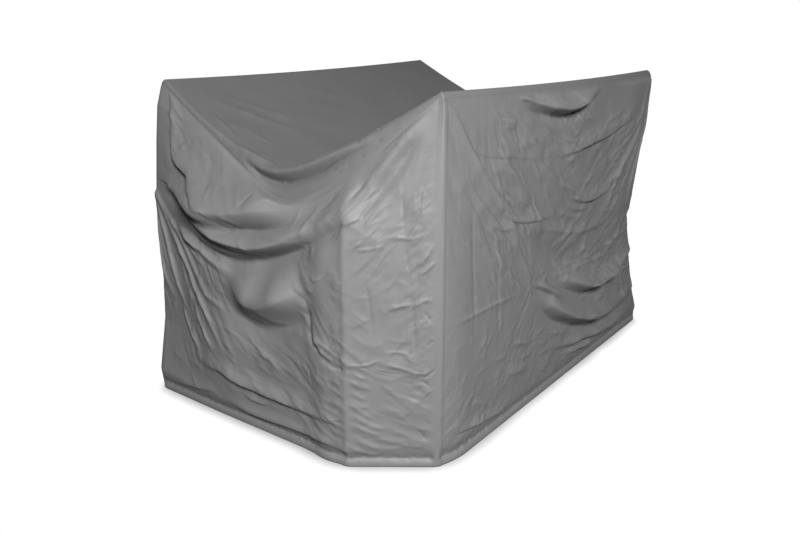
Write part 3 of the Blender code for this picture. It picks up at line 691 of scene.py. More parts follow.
NEAR_END_CREASES = (
    # between the folds of the fan
    Crease(0.0028, 0.004, ((-0.515, 0.640), (-0.485, 0.560), (-0.455, 0.480), (-0.430, 0.400))),
    Crease(0.0031, 0.004, ((-0.500, 0.640), (-0.450, 0.560), (-0.400, 0.480), (-0.365, 0.400),
                           (-0.335, 0.320), (-0.310, 0.250))),
    Crease(0.0031, 0.004, ((-0.480, 0.635), (-0.420, 0.560), (-0.365, 0.490), (-0.320, 0.420),
                           (-0.285, 0.350), (-0.250, 0.290))),
    Crease(0.0035, 0.004, ((-0.440, 0.600), (-0.390, 0.555), (-0.345, 0.510), (-0.300, 0.450),
                           (-0.255, 0.400), (-0.215, 0.350))),
    Crease(0.0042, 0.004, ((-0.410, 0.590), (-0.350, 0.545), (-0.290, 0.510), (-0.235, 0.480))),
    Crease(0.0028, 0.004, ((-0.360, 0.520), (-0.310, 0.470), (-0.270, 0.410), (-0.235, 0.355))),
    Crease(0.0034, 0.004, ((-0.520, 0.600), (-0.508, 0.520), (-0.490, 0.450), (-0.475, 0.390))),
    Crease(0.0034, 0.004, ((-0.300, 0.420), (-0.260, 0.370), (-0.220, 0.320), (-0.180, 0.290))),
    # pleats of the upper lobe and of the grooves below it
    Crease(0.0028, 0.004, ((-0.204, 0.726), (-0.192, 0.700), (-0.172, 0.668))),
    Crease(0.0024, 0.004, ((-0.112, 0.730), (-0.078, 0.696), (-0.048, 0.664))),
    Crease(-0.0024, 0.004, ((-0.048, 0.660), (-0.038, 0.688), (-0.026, 0.714))),
    Crease(0.0030, 0.004, ((0.164, 0.628), (0.172, 0.652), (0.184, 0.690))),
    Crease(-0.0028, 0.004, ((0.262, 0.764), (0.235, 0.732), (0.200, 0.702))),
    Crease(0.0028, 0.004, ((0.100, 0.690), (0.170, 0.720), (0.230, 0.756), (0.280, 0.800))),
    Crease(-0.0040, 0.004, ((-0.189, 0.640), (-0.140, 0.628), (-0.104, 0.612), (-0.084, 0.600))),
    Crease(-0.0040, 0.004, ((-0.158, 0.638), (-0.108, 0.630), (-0.062, 0.618))),
    Crease(0.0030, 0.004, ((-0.132, 0.649), (-0.088, 0.640), (-0.056, 0.626))),
    Crease(0.0050, 0.005, ((-0.364, 0.561), (-0.330, 0.555), (-0.299, 0.546), (-0.258, 0.522))),
    Crease(0.0050, 0.005, ((-0.300, 0.560), (-0.240, 0.545), (-0.180, 0.520), (-0.130, 0.505))),
    Crease(0.0025, 0.005, ((-0.411, 0.712), (-0.425, 0.694), (-0.442, 0.676))),
    Crease(-0.0020, 0.005, ((-0.362, 0.860), (-0.310, 0.826), (-0.265, 0.800), (-0.212, 0.770))),
    # on the upper lobe
    Crease(0.0020, 0.007, ((-0.250, 0.757), (-0.194, 0.739), (-0.148, 0.728))),
    Crease(-0.0018, 0.007, ((-0.300, 0.850), (-0.262, 0.800), (-0.230, 0.760))),
    # between the right corner and the square one
    Crease(-0.0037, 0.0030, ((0.340, 0.801), (0.327, 0.783), (0.318, 0.770), (0.293, 0.734))),
    Crease(-0.0037, 0.0030, ((0.376, 0.757), (0.360, 0.740), (0.348, 0.720), (0.329, 0.674))),
    Crease(0.0037, 0.0036, ((0.399, 0.753), (0.379, 0.730), (0.361, 0.703), (0.348, 0.680))),
    Crease(-0.0018, 0.0024, ((0.426, 0.800), (0.427, 0.754), (0.430, 0.717), (0.437, 0.651))),
    Crease(-0.0018, 0.0024, ((0.437, 0.649), (0.441, 0.614), (0.444, 0.588), (0.448, 0.555))),
    Crease(0.0015, 0.0024, ((0.473, 0.790), (0.472, 0.744), (0.472, 0.688))),
    Crease(0.0025, 0.0024, ((0.312, 0.622), (0.334, 0.638), (0.352, 0.655))),
    Crease(0.0023, 0.0024, ((0.322, 0.624), (0.366, 0.630), (0.399, 0.640))),
    Crease(0.0034, 0.0030, ((0.396, 0.655), (0.425, 0.659), (0.452, 0.657), (0.488, 0.676))),
    Crease(0.0042, 0.0030, ((0.463, 0.566), (0.471, 0.592), (0.481, 0.611), (0.501, 0.652))),
    Crease(0.0034, 0.0024, ((0.462, 0.560), (0.478, 0.571), (0.489, 0.583), (0.499, 0.600))),
    Crease(0.0023, 0.0036, ((0.173, 0.613), (0.190, 0.608), (0.207, 0.603))),
    Crease(0.0037, 0.0036, ((0.200, 0.546), (0.216, 0.530), (0.230, 0.534), (0.248, 0.547))),
    Crease(0.0037, 0.0036, ((0.203, 0.369), (0.235, 0.351), (0.263, 0.337), (0.313, 0.307))),
    Crease(-0.0030, 0.0036, ((0.217, 0.318), (0.261, 0.296), (0.307, 0.290))),
    # on the flat cloth between the square corner and the right one
    Crease(-0.0021, 0.0024, ((0.356, 0.547), (0.362, 0.493), (0.365, 0.437), (0.367, 0.375))),
    Crease(-0.0023, 0.0030, ((0.449, 0.556), (0.450, 0.521), (0.453, 0.466), (0.457, 0.400),
                            (0.460, 0.353), (0.464, 0.312))),
    Crease(0.0033, 0.0030, ((0.390, 0.464), (0.416, 0.472), (0.440, 0.479), (0.457, 0.478))),
    Crease(0.0033, 0.0030, ((0.450, 0.476), (0.463, 0.482), (0.480, 0.492), (0.503, 0.488))),
    Crease(-0.0023, 0.0024, ((0.474, 0.465), (0.486, 0.447), (0.494, 0.429))),
    Crease(-0.0023, 0.0024, ((0.496, 0.384), (0.488, 0.372), (0.481, 0.362))),
    Crease(0.0037, 0.0024, ((0.304, 0.309), (0.336, 0.308), (0.357, 0.310), (0.370, 0.318),
                           (0.388, 0.325))),
    Crease(0.0027, 0.0024, ((0.384, 0.340), (0.400, 0.345), (0.418, 0.347), (0.432, 0.344),
                           (0.452, 0.333), (0.465, 0.321))),
    Crease(0.0041, 0.0036, ((0.370, 0.312), (0.394, 0.312), (0.416, 0.305), (0.437, 0.297),
                           (0.458, 0.288), (0.478, 0.286), (0.493, 0.296), (0.505, 0.308))),
    Crease(0.0026, 0.0024, ((0.436, 0.338), (0.448, 0.325), (0.458, 0.315))),
    Crease(-0.0030, 0.0024, ((0.462, 0.280), (0.480, 0.276), (0.494, 0.290), (0.505, 0.300))),
    Crease(-0.0026, 0.0024, ((0.469, 0.267), (0.482, 0.255), (0.491, 0.247))),
    Crease(-0.0019, 0.0030, ((0.469, 0.251), (0.466, 0.236), (0.461, 0.219))),
    Crease(-0.0019, 0.0030, ((0.478, 0.206), (0.486, 0.219), (0.499, 0.236))),
    Crease(0.0025, 0.0060, ((0.388, 0.186), (0.404, 0.174), (0.422, 0.163), (0.436, 0.162),
                           (0.450, 0.180), (0.459, 0.204), (0.468, 0.224))),
    Crease(0.0023, 0.0036, ((0.316, 0.289), (0.335, 0.277), (0.353, 0.259))),
    Crease(0.0027, 0.0036, ((0.314, 0.267), (0.335, 0.247), (0.356, 0.232))),
    Crease(0.0029, 0.0042, ((0.314, 0.234), (0.334, 0.216), (0.353, 0.202))),
    Crease(0.0033, 0.0048, ((0.314, 0.203), (0.333, 0.178), (0.351, 0.159), (0.371, 0.146))),
    Crease(0.0036, 0.0048, ((0.314, 0.170), (0.338, 0.148), (0.359, 0.129), (0.381, 0.120),
                           (0.406, 0.122))),
    Crease(0.0036, 0.0048, ((0.313, 0.137), (0.341, 0.120), (0.368, 0.104), (0.396, 0.098))),
    Crease(0.0033, 0.0042, ((0.316, 0.098), (0.341, 0.078), (0.363, 0.063), (0.389, 0.050))),
    Crease(0.0023, 0.0036, ((0.315, 0.060), (0.336, 0.050), (0.358, 0.038), (0.392, 0.034))),
    Crease(-0.0019, 0.0030, ((0.458, 0.122), (0.474, 0.100), (0.487, 0.082))),
    Crease(0.0018, 0.0042, ((0.407, 0.082), (0.434, 0.069), (0.464, 0.066), (0.496, 0.075))),
)
NEAR_END_SCATTER = (
    Scatter("crease", (0.450, 0.50), (0.488, 0.88), 34, 0.060, 236.0, 16.0, 0.0014, 0.0035),
    Scatter("crease", (0.450, 0.18), (0.490, 0.50), 20, 0.050, 226.0, 36.0, 0.0012, 0.0035),
    Scatter("crease", (0.324, 0.04), (0.350, 0.46), 24, 0.060, -40.0, 12.0, 0.0016, 0.004),
    Scatter("crease", (0.272, 0.06), (0.296, 0.60), 16, 0.040, -28.0, 20.0, 0.0020, 0.006),
    Scatter("crease", (0.150, 0.36), (0.200, 0.62), 18, 0.044, -62.0, 34.0, 0.0020, 0.004),
    Scatter("crease", (0.186, 0.29), (0.310, 0.37), 16, 0.060, -36.0, 16.0, 0.0026, 0.004),
    Scatter("crease", (0.150, 0.05), (0.300, 0.28), 18, 0.060, -30.0, 22.0, 0.0016, 0.005),
    Scatter("crease", (0.33, 0.06), (0.49, 0.30), 30, 0.060, -24.0, 24.0, 0.0013, 0.004),
    Scatter("crease", (0.33, 0.30), (0.49, 0.80), 44, 0.060, 50.0, 60.0, 0.0012, 0.004),
    Scatter("crease", (-0.50, 0.22), (-0.22, 0.60), 30, 0.070, -62.0, 12.0, 0.0024, 0.005),
    Scatter("crease", (-0.20, 0.10), (0.20, 0.42), 26, 0.070, -20.0, 40.0, 0.0014, 0.007),
    Scatter("crease", (-0.46, 0.07), (0.28, 0.26), 30, 0.080, -28.0, 22.0, 0.0018, 0.006),
    Scatter("crease", (-0.42, 0.72), (0.10, 0.86), 26, 0.070, -42.0, 30.0, 0.0012, 0.004),
    Scatter("crease", (0.10, 0.66), (0.42, 0.90), 30, 0.070, 52.0, 18.0, 0.0018, 0.004),
    Scatter("crease", (-0.36, 0.50), (0.00, 0.62), 22, 0.070, -34.0, 10.0, 0.0026, 0.004),
    Scatter("bell", (-0.46, 0.10), (0.46, 0.40), 18, 0.120, -30.0, 60.0, 0.0018, 0.020),
    Scatter("crease", (-0.52, 0.020), (0.50, 0.034), 80, 0.018, 90.0, 35.0, -0.0014, 0.004),
)
NEAR_END_CRUMPLES = (
    Crumple((0.30, 0.28), (0.53, 0.96), (0.070, 0.024), 55.0, 0.0030),
    Crumple((0.42, 0.20), (0.53, 0.80), (0.050, 0.018), 62.0, 0.0034),
    Crumple((0.29, 0.02), (0.53, 0.34), (0.080, 0.026), -22.0, 0.0034),
    Crumple((0.12, 0.02), (0.34, 0.62), (0.060, 0.022), -50.0, 0.0028),
    Crumple((0.08, 0.62), (0.40, 0.95), (0.080, 0.022), 50.0, 0.0034),
    Crumple((-0.56, 0.10), (-0.10, 0.62), (0.090, 0.020), -62.0, 0.0034),
    Crumple((-0.56, 0.02), (0.32, 0.34), (0.110, 0.030), -24.0, 0.0030),
    Crumple((-0.52, 0.62), (0.14, 0.98), (0.110, 0.032), -46.0, 0.0024),
    Crumple((-0.30, 0.30), (0.20, 0.64), (0.080, 0.028), -10.0, 0.0014),
)


def rounded_outline(corners):
    """The outline's points, their distances along it, and the distance of each corner's middle."""
    points = []
    middles = []
    for index, corner in enumerate(corners):
        here = np.array([corner.x, corner.y])
        before = np.array([corners[index - 1].x, corners[index - 1].y])
        after_corner = corners[(index + 1) % len(corners)]
        after = np.array([after_corner.x, after_corner.y])
        start = here + corner.radius * (before - here) / np.linalg.norm(before - here)
        end = here + corner.radius * (after - here) / np.linalg.norm(after - here)
        share = np.linspace(0.0, 1.0, CORNER_POINTS)[:, None]
        bend = mix(mix(start, here, share), mix(here, end, share), share)
        middles.append(len(points) + CORNER_POINTS // 2)
        points.extend(bend)
    points.append(points[0])
    points = np.array(points)
    lengths = np.concatenate([[0.0], np.cumsum(np.linalg.norm(np.diff(points, axis=0), axis=1))])
    return points, lengths, lengths[middles]


hem_points, hem_lengths, hem_middles = rounded_outline(HEM)
hem_at = {corner.name: middle for corner, middle in zip(HEM, hem_middles)}


def hem_point(distance):
    distance = np.mod(distance, hem_lengths[-1])
    x = np.interp(distance, hem_lengths, hem_points[:, 0])
    y = np.interp(distance, hem_lengths, hem_points[:, 1])
    return np.stack([x, y], axis=-1)


def edge_shift(rows, height_share):
    heights = [row.height for row in rows]
    off_x = np.interp(height_share, heights, [row.off_x for row in rows])
    off_y = np.interp(height_share, heights, [row.off_y for row in rows])
    return np.stack([off_x, off_y], axis=-1)


def hanging_wall(seam, share, left, right, edges, rows, shoulder_at):
    """A wall without its folds, as columns from left to right and rows from hem to seam."""
    backwards = (hem_at[left] - hem_at[right]) % hem_lengths[-1]
    hem = hem_point(hem_at[left] - backwards * share)
    rise = np.linspace(0.0, 1.0, rows + 1)[None, :]
    height = rise * seam[:, 2, None]
    if shoulder_at is None:
        lean = rise**SIDE_LEAN_POWER
    else:
        shoulder = shoulder_at(hem)[:, None]
        shoulder = np.minimum(shoulder, HIGHEST_SHOULDER * seam[:, 2, None])
        lean = np.clip((height - shoulder) / (seam[:, 2, None] - shoulder), 0.0, 1.0)
        lean = lean**END_LEAN_POWER
    lean = lean * np.ones_like(height)
    plan = mix(hem[:, None, :], seam[:, None, :2], lean[..., None])
    share = share[:, None]
    for table, fade, column in (
        (edges[0], (1.0 - share) ** EDGE_FADE, 0),
        (edges[1], share**EDGE_FADE, -1),
    ):
        straight = mix(hem[column], seam[column, :2], rise[0][:, None])
        edge = straight + edge_shift(table, rise[0])
        shift = edge - plan[column]
        plan = plan + fade[..., None] * shift[None, :, :]
    return np.concatenate([plan, height[..., None]], axis=-1)


def folded_wall(base, to_right, folds, crumples, welted):
    """The wall with its folds, which fade out at the seams and stay level along the hem.

    The seam allowances of the long walls' ends lie under them as flat raised welts.
    """
    places = np.stack([base[..., :2] @ np.array(to_right), base[..., 2]], axis=-1)
    lift = fold_lift(folds, places) + crumpled(crumples, places, WALL_CRUMPLE_SEED)
    lift = lift * smooth((base[:, -1:, 2] - base[..., 2]) / SEAM_FADE)
    for edge in (base[:1], base[-1:]):
        to_edge = np.linalg.norm(base - edge, axis=-1)
        lift = lift * smooth(to_edge / SEAM_FADE)
        if welted:
            welt = smooth(to_edge / WELT_STEP) * smooth((WELT_WIDTH - to_edge) / WELT_STEP)
            lift = lift + WELT_RISE * welt
    push = grid_normals(base) * lift[..., None]
    push[:, 0, 2] = 0.0
    return base + push


def turned_up(grid, base):
    """The wall with its hem turned up inside, and the place of each point in the flat cloth."""
    heights = np.linspace(HEM_DEPTH, HEM_DEPTH / HEM_ROWS, HEM_ROWS)
    step = heights[None, :] / base[:, 1, 2, None]
    low = step.astype(int)
    column = np.arange(len(grid))[:, None]
    layer = mix(grid[column, low], grid[column, low + 1], (step - low)[..., None])
    layer = layer - HEM_LAYER * grid_normals(grid)[column, low]
    cut = cut_places(base)
    turned = np.stack([cut[:, :1, 0] + 0.0 * step, 0.0 * step - heights], axis=-1)
    cut = np.concatenate([turned, cut], axis=1) + np.array([0.0, HEM_DEPTH])
    return np.concatenate([layer, grid], axis=1), cut


def stitch_row(name, line, normals, material):
    """Stitches of thread along a line of the cloth, each a short slug lying on it."""
    run = np.concatenate([[0.0], np.cumsum(np.linalg.norm(np.diff(line, axis=0), axis=1))])
    thread = bmesh.new()
    size = Matrix.Diagonal((STITCH_LENGTH / 2.0, THREAD_RADIUS, THREAD_RADIUS, 1.0))
    for distance in np.arange(STITCH_PITCH, run[-1] - STITCH_PITCH, STITCH_PITCH):
        ends = [[np.interp(at, run, line[:, axis]) for axis in range(3)]
                for at in (distance, distance + STITCH_LENGTH)]
        out = [np.interp(distance, run, normals[:, axis]) for axis in range(3)]
        place = Vector(ends[0]) + THREAD_RADIUS * Vector(out)
        turn = (Vector(ends[1]) - Vector(ends[0])).to_track_quat("X", "Z").to_matrix().to_4x4()
        bmesh.ops.create_icosphere(thread, subdivisions=1, radius=1.0,
                                   matrix=Matrix.Translation(place) @ turn @ size)
    data = bpy.data.meshes.new(name)
    thread.to_mesh(data)
    thread.free()
    data.shade_smooth()
    data.materials.append(material)
    row = bpy.data.objects.new(name, data)
    bpy.context.scene.collection.objects.link(row)
    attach(row, "root")
    return row


def hem_stitches(name, grid, base, material):
    """The row of stitches that holds a wall's turned-up hem."""
    step = STITCH_HEIGHT / base[:, 1, 2]
    low = step.astype(int)
    column = np.arange(len(grid))
    line = mix(grid[column, low], grid[column, low + 1], (step - low)[:, None])
    return stitch_row(name, line, grid_normals(grid)[column, low], material)


def polyester_thread(name):
    """Spun polyester thread, a shade darker than the cloth and quite dull."""
    material = bpy.data.materials.new(name)
    material.use_nodes = True
    tree = material.node_tree
    shader = tree.nodes["Principled BSDF"]
    shader.inputs["Roughness"].default_value = 0.7
    shader.inputs["IOR"].default_value = 1.5
    place = add_node(tree, "ShaderNodeTexCoord")
    twist = add_node(tree, "ShaderNodeTexNoise", {"Scale": 1600.0}, {"Vector": place.outputs["Object"]})
    tone = add_node(tree, "ShaderNodeMix", {"data_type": "RGBA", 6: colour("#5e5e5e"),
                                            7: colour("#7a7a7a")},
                    {"Factor": twist.outputs["Fac"]})
    tree.links.new(tone.outputs[2], shader.inputs["Base Color"])
    return material


def near_end_shoulder(hem):
    to_arm = np.abs(hem[:, 1] - ARM_Y)
    return mix(ARM_SHOULDER, END_SHOULDER, smooth(to_arm / ARM_WIDTH))


near_end_shares = divisions(END_COLUMNS, SIDE_BAND_COLUMNS, ARM_SPREAD)
near_end_seam = top_point(np.zeros_like(near_end_shares), 1.0 - near_end_shares)
near_end_base = hanging_wall(near_end_seam, near_end_shares, "near_left", "near_right",
                             (NEAR_LEFT_EDGE, NEAR_RIGHT_EDGE), NEAR_ROWS, near_end_shoulder)
near_end_folds = NEAR_END_FOLDS + narrow(NEAR_END_CREASES) + scattered(NEAR_END_SCATTER, NEAR_END_SEED)
near_end_grid = folded_wall(near_end_base, (0.0, -1.0), near_end_folds, NEAR_END_CRUMPLES, False)
# The walls are the same polyester as the top panel in paler tones: the difference is painted light.
# Their last colour is painted shade for sunken creases.
wall_cloth_painted_paler = coated_polyester("coated_polyester_walls_painted_paler", "#868686", "#909090", "#6c6c6c")
near_end = sew_panel("near_end_wall_cloth", *turned_up(near_end_grid, near_end_base), wall_cloth_painted_paler)
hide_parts("end_wall_near")
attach(near_end, "root")
hem_thread = polyester_thread("polyester_thread")
near_end_stitches = hem_stitches("near_end_hem_stitches", near_end_grid, near_end_base, hem_thread)

# ---------------------------------------------------------------- near long wall
# It hangs from the -Y ridge. The foot of its far corner stands out, so the
# cloth sags between the two top corners and runs in long folds to the hem on the right.

SIDE_COLUMNS = 320
NEAR_SIDE_SEED = 31

NEAR_SIDE_FOLDS = (
    # the pocket under the ridge
    Fold("pocket_lip", "ledge", 0.034, 0.034, 0.022, 0.1, 0.0,
         ((-0.215, 0.966), (-0.165, 0.955), (-0.110, 0.945), (-0.055, 0.936), (-0.005, 0.931),
          (0.060, 0.932), (0.105, 0.941), (0.170, 0.956), (0.240, 0.974), (0.300, 0.990))),
    Fold("pocket", "bell", -0.012, 0.012, 0.018, 0.0, 0.0,
         ((-0.230, 0.957), (-0.165, 0.941), (-0.095, 0.924), (-0.015, 0.909), (0.060, 0.907),
          (0.110, 0.917), (0.180, 0.935), (0.260, 0.960))),
    # long grooves dragged down from the near top corner, steeper on their upper side
    Fold("long_drag", "ledge", 0.011, 0.022, 0.010, 0.0, 0.2,
         ((0.013, 0.338), (-0.114, 0.410), (-0.202, 0.472), (-0.258, 0.534), (-0.300, 0.592),
          (-0.327, 0.635), (-0.350, 0.668), (-0.383, 0.702), (-0.430, 0.752), (-0.477, 0.803),
          (-0.517, 0.848), (-0.553, 0.892), (-0.588, 0.938), (-0.615, 0.973))),
    Fold("second_drag", "ledge", 0.004, 0.030, 0.009, 0.0, 0.0,
         ((-0.289, 0.524), (-0.351, 0.591), (-0.409, 0.658), (-0.467, 0.701), (-0.516, 0.753),
          (-0.547, 0.792))),
    Fold("middle_drag", "ledge", 0.006, 0.034, 0.014, 0.0, 0.0,
         ((0.161, 0.642), (0.076, 0.666), (-0.010, 0.700), (-0.063, 0.726), (-0.118, 0.758),
          (-0.172, 0.796), (-0.270, 0.836))),
    Fold("inner_drag", "ledge", 0.005, 0.034, 0.014, 0.0, 0.0,
         ((-0.185, 0.650), (-0.240, 0.698), (-0.297, 0.750), (-0.355, 0.800), (-0.410, 0.840))),
    Fold("upper_drag", "bell", -0.007, 0.020, 0.014, 0.0, 0.0,
         ((0.098, 0.810), (0.016, 0.827), (-0.064, 0.861), (-0.121, 0.902), (-0.219, 0.949),
          (-0.276, 0.974))),
    Fold("outer_drag", "ledge", 0.0026, 0.024, 0.007, 0.0, 0.0,
         ((-0.401, 0.480), (-0.430, 0.560), (-0.480, 0.650), (-0.540, 0.730), (-0.585, 0.790))),
    Fold("low_drag", "ledge", 0.004, 0.026, 0.010, 0.0, 0.0,
         ((-0.150, 0.350), (-0.220, 0.400), (-0.290, 0.455), (-0.345, 0.510), (-0.390, 0.580))),
    # short lips where the cloth breaks over
    Fold("high_lip", "ledge", 0.012, 0.034, 0.008, 0.0, 0.0,
         ((-0.010, 0.788), (0.035, 0.789), (0.102, 0.792), (0.178, 0.799), (0.259, 0.806),
          (0.343, 0.813), (0.430, 0.829), (0.540, 0.856), (0.620, 0.890))),
    Fold("high_lip_left", "ledge", 0.0016, 0.012, 0.004, 0.0, 0.3,
         ((-0.547, 0.868), (-0.495, 0.855), (-0.428, 0.838), (-0.328, 0.824), (-0.211, 0.806),
          (-0.043, 0.789))),
    Fold("break_lip", "ledge", 0.006, 0.016, 0.005, 0.0, 0.0,
         ((-0.375, 0.674), (-0.340, 0.656), (-0.300, 0.638), (-0.240, 0.622), (-0.160, 0.611),
          (-0.095, 0.606), (0.013, 0.590))),
    Fold("right_lip", "ledge", 0.010, 0.030, 0.007, 0.0, 0.0,
         ((0.080, 0.645), (0.122, 0.629), (0.190, 0.611), (0.250, 0.607), (0.338, 0.611),
          (0.410, 0.633), (0.470, 0.665))),
    Fold("middle_lip", "swag", 0.006, 0.020, 0.008, 0.0, 0.0,
         ((-0.180, 0.590), (-0.080, 0.565), (0.040, 0.535), (0.150, 0.512), (0.270, 0.501),
          (0.363, 0.500), (0.440, 0.520))),
    # the hollow low on the wall, and the folds that sag below it
    Fold("hollow", "bell", -0.022, 0.050, 0.036, 0.0, 0.0,
         ((-0.193, 0.600), (-0.113, 0.523), (0.026, 0.450), (0.130, 0.410), (0.260, 0.395))),
    Fold("groove_start", "ledge", 0.012, 0.012, 0.012, 0.0, 0.0,
         ((-0.180, 0.415), (-0.130, 0.398), (-0.080, 0.376), (-0.020, 0.344), (0.019, 0.324),
          (0.090, 0.298))),
    Fold("high_ridge", "ledge", 0.038, 0.040, 0.028, 0.0, 0.15,
         ((0.000, 0.384), (0.060, 0.366), (0.122, 0.344), (0.196, 0.314), (0.263, 0.296),
          (0.351, 0.286), (0.438, 0.288), (0.534, 0.300), (0.633, 0.324), (0.700, 0.350))),
    Fold("high_groove", "bell", -0.010, 0.014, 0.020, 0.0, 0.1,
         ((0.050, 0.338), (0.122, 0.314), (0.196, 0.282), (0.263, 0.264), (0.351, 0.256),
          (0.438, 0.258), (0.534, 0.270), (0.633, 0.292), (0.700, 0.315))),
    Fold("middle_ridge", "ledge", 0.042, 0.040, 0.030, 0.0, 0.15,
         ((-0.140, 0.372), (-0.076, 0.330), (-0.040, 0.307), (0.015, 0.268), (0.122, 0.220),
          (0.221, 0.185), (0.310, 0.166), (0.400, 0.157), (0.500, 0.147), (0.600, 0.145),
          (0.710, 0.160))),
    Fold("middle_groove", "bell", -0.010, 0.012, 0.020, 0.0, 0.1,
         ((-0.140, 0.343), (-0.076, 0.300), (-0.040, 0.277), (0.015, 0.238), (0.122, 0.190),
          (0.221, 0.155), (0.310, 0.137), (0.400, 0.128), (0.500, 0.118), (0.600, 0.115),
          (0.700, 0.125))),
    Fold("low_ridge", "ledge", 0.018, 0.024, 0.014, 0.0, 0.1,
         ((-0.087, 0.157), (0.066, 0.128), (0.147, 0.112), (0.223, 0.106), (0.317, 0.088),
          (0.413, 0.076), (0.520, 0.066), (0.626, 0.066), (0.730, 0.078))),
    Fold("lowest_ridge", "ledge", 0.009, 0.014, 0.009, 0.0, 0.0,
         ((0.032, 0.104), (0.156, 0.076), (0.240, 0.064), (0.334, 0.052), (0.430, 0.045))),
    Fold("hem_lip", "ledge", 0.007, 0.018, 0.007, 0.0, 0.0,
         ((-0.615, 0.092), (-0.547, 0.080), (-0.462, 0.066), (-0.375, 0.054), (-0.311, 0.050),
          (-0.215, 0.046))),
    # the turn into the far corner, and the folds from its top
    Fold("far_turn", "bell", 0.014, 0.300, 0.110, 1.0, 0.3,
         ((0.600, 0.960), (0.575, 0.800), (0.550, 0.670), (0.520, 0.500), (0.550, 0.370))),
    Fold("far_drag", "bell", 0.009, 0.014, 0.016, 0.3, 0.0,
         ((0.700, 0.975), (0.660, 0.880), (0.610, 0.790), (0.547, 0.735), (0.506, 0.705),
          (0.446, 0.643), (0.400, 0.560), (0.362, 0.490))),
    Fold("far_edge_drag", "swag", 0.008, 0.014, 0.008, 0.3, 0.0,
         ((0.730, 0.960), (0.700, 0.850), (0.640, 0.720), (0.590, 0.600), (0.560, 0.480))),
    Fold("hem_pinch", "bell", -0.0060, 0.018, 0.012, 1.0, 1.0, ((-0.70, 0.027), (0.85, 0.027))),
    Fold("hem_stitching", "crease", -0.0016, 0.003, 0.003, 1.0, 1.0, ((-0.70, 0.026), (0.85, 0.026))),
)
NEAR_SIDE_CREASES = (
    Crease(0.0050, 0.004, ((-0.310, 0.990), (-0.240, 0.976), (-0.170, 0.958), (-0.100, 0.944))),
    # creases from storage: one level, two upright
    Crease(0.0030, 0.004, ((-0.640, 0.417), (-0.556, 0.413), (-0.479, 0.413), (-0.366, 0.411),
                           (-0.294, 0.405), (-0.225, 0.396))),
    Crease(0.0032, 0.004, ((-0.120, 0.400), (-0.006, 0.398), (0.126, 0.384), (0.199, 0.382),
                           (0.287, 0.380), (0.379, 0.377), (0.479, 0.373), (0.560, 0.373))),
    Crease(-0.0022, 0.005, ((-0.535, 0.790), (-0.522, 0.600), (-0.512, 0.440), (-0.508, 0.300))),
    Crease(-0.0022, 0.005, ((-0.399, 0.560), (-0.385, 0.440), (-0.372, 0.340), (-0.362, 0.240))),
    Crease(-0.0019, 0.005, ((-0.300, 0.940), (-0.285, 0.870), (-0.270, 0.800))),
    # dragged ridges and broken lines between the long grooves
    Crease(0.0047, 0.008, ((-0.355, 0.805), (-0.297, 0.761), (-0.233, 0.707), (-0.185, 0.663))),
    Crease(0.0047, 0.008, ((-0.172, 0.800), (-0.118, 0.766), (-0.063, 0.734), (-0.010, 0.708))),
    Crease(0.0041, 0.006, ((-0.014, 0.712), (0.055, 0.682), (0.123, 0.648))),
    Crease(0.0041, 0.005, ((0.012, 0.844), (0.074, 0.825), (0.135, 0.823))),
    Crease(0.0047, 0.005, ((-0.440, 0.660), (-0.400, 0.640), (-0.356, 0.622), (-0.320, 0.618))),
    Crease(0.0041, 0.005, ((-0.400, 0.936), (-0.350, 0.922), (-0.310, 0.916), (-0.290, 0.920))),
    Crease(0.0035, 0.005, ((-0.365, 0.914), (-0.330, 0.906), (-0.290, 0.902))),
    Crease(0.0035, 0.007, ((-0.300, 0.930), (-0.230, 0.880), (-0.170, 0.830), (-0.110, 0.795))),
    Crease(0.0035, 0.007, ((-0.150, 0.900), (-0.080, 0.860), (0.000, 0.830), (0.060, 0.812))),
    Crease(0.0035, 0.007, ((-0.430, 0.880), (-0.380, 0.840), (-0.320, 0.780), (-0.270, 0.720))),
    Crease(0.0054, 0.006, ((0.040, 0.640), (0.110, 0.600), (0.190, 0.585), (0.260, 0.575))),
    Crease(0.0041, 0.006, ((-0.060, 0.640), (0.020, 0.600), (0.110, 0.570), (0.200, 0.560))),
    Crease(0.0054, 0.005, ((0.506, 0.325), (0.590, 0.329), (0.674, 0.341))),
    Crease(0.0047, 0.005, ((0.480, 0.420), (0.544, 0.419), (0.640, 0.427))),
    Crease(0.0047, 0.005, ((0.405, 0.409), (0.450, 0.410), (0.495, 0.414))),
    Crease(-0.0047, 0.006, ((0.568, 0.671), (0.524, 0.640), (0.483, 0.601))),
    Crease(0.0041, 0.006, ((0.690, 0.930), (0.600, 0.830), (0.500, 0.770), (0.400, 0.740))),
    Crease(0.0041, 0.006, ((0.700, 0.900), (0.640, 0.780), (0.570, 0.680), (0.520, 0.590))),
    Crease(0.0041, 0.005, ((-0.130, 0.400), (-0.080, 0.372), (-0.030, 0.352), (0.020, 0.330))),
    # above the hem
    Crease(0.0046, 0.005, ((-0.285, 0.250), (-0.233, 0.238), (-0.165, 0.214))),
    Crease(0.0035, 0.005, ((-0.110, 0.150), (-0.051, 0.152), (0.007, 0.150))),
    Crease(0.0068, 0.012, ((-0.330, 0.163), (-0.257, 0.149), (-0.211, 0.144), (-0.170, 0.146))),
    Crease(0.0035, 0.006, ((-0.240, 0.190), (-0.190, 0.180), (-0.140, 0.184))),
    Crease(0.0032, 0.006, ((-0.400, 0.240), (-0.350, 0.228), (-0.310, 0.230))),
    Crease(0.0032, 0.006, ((-0.520, 0.150), (-0.470, 0.130), (-0.430, 0.110))),
)
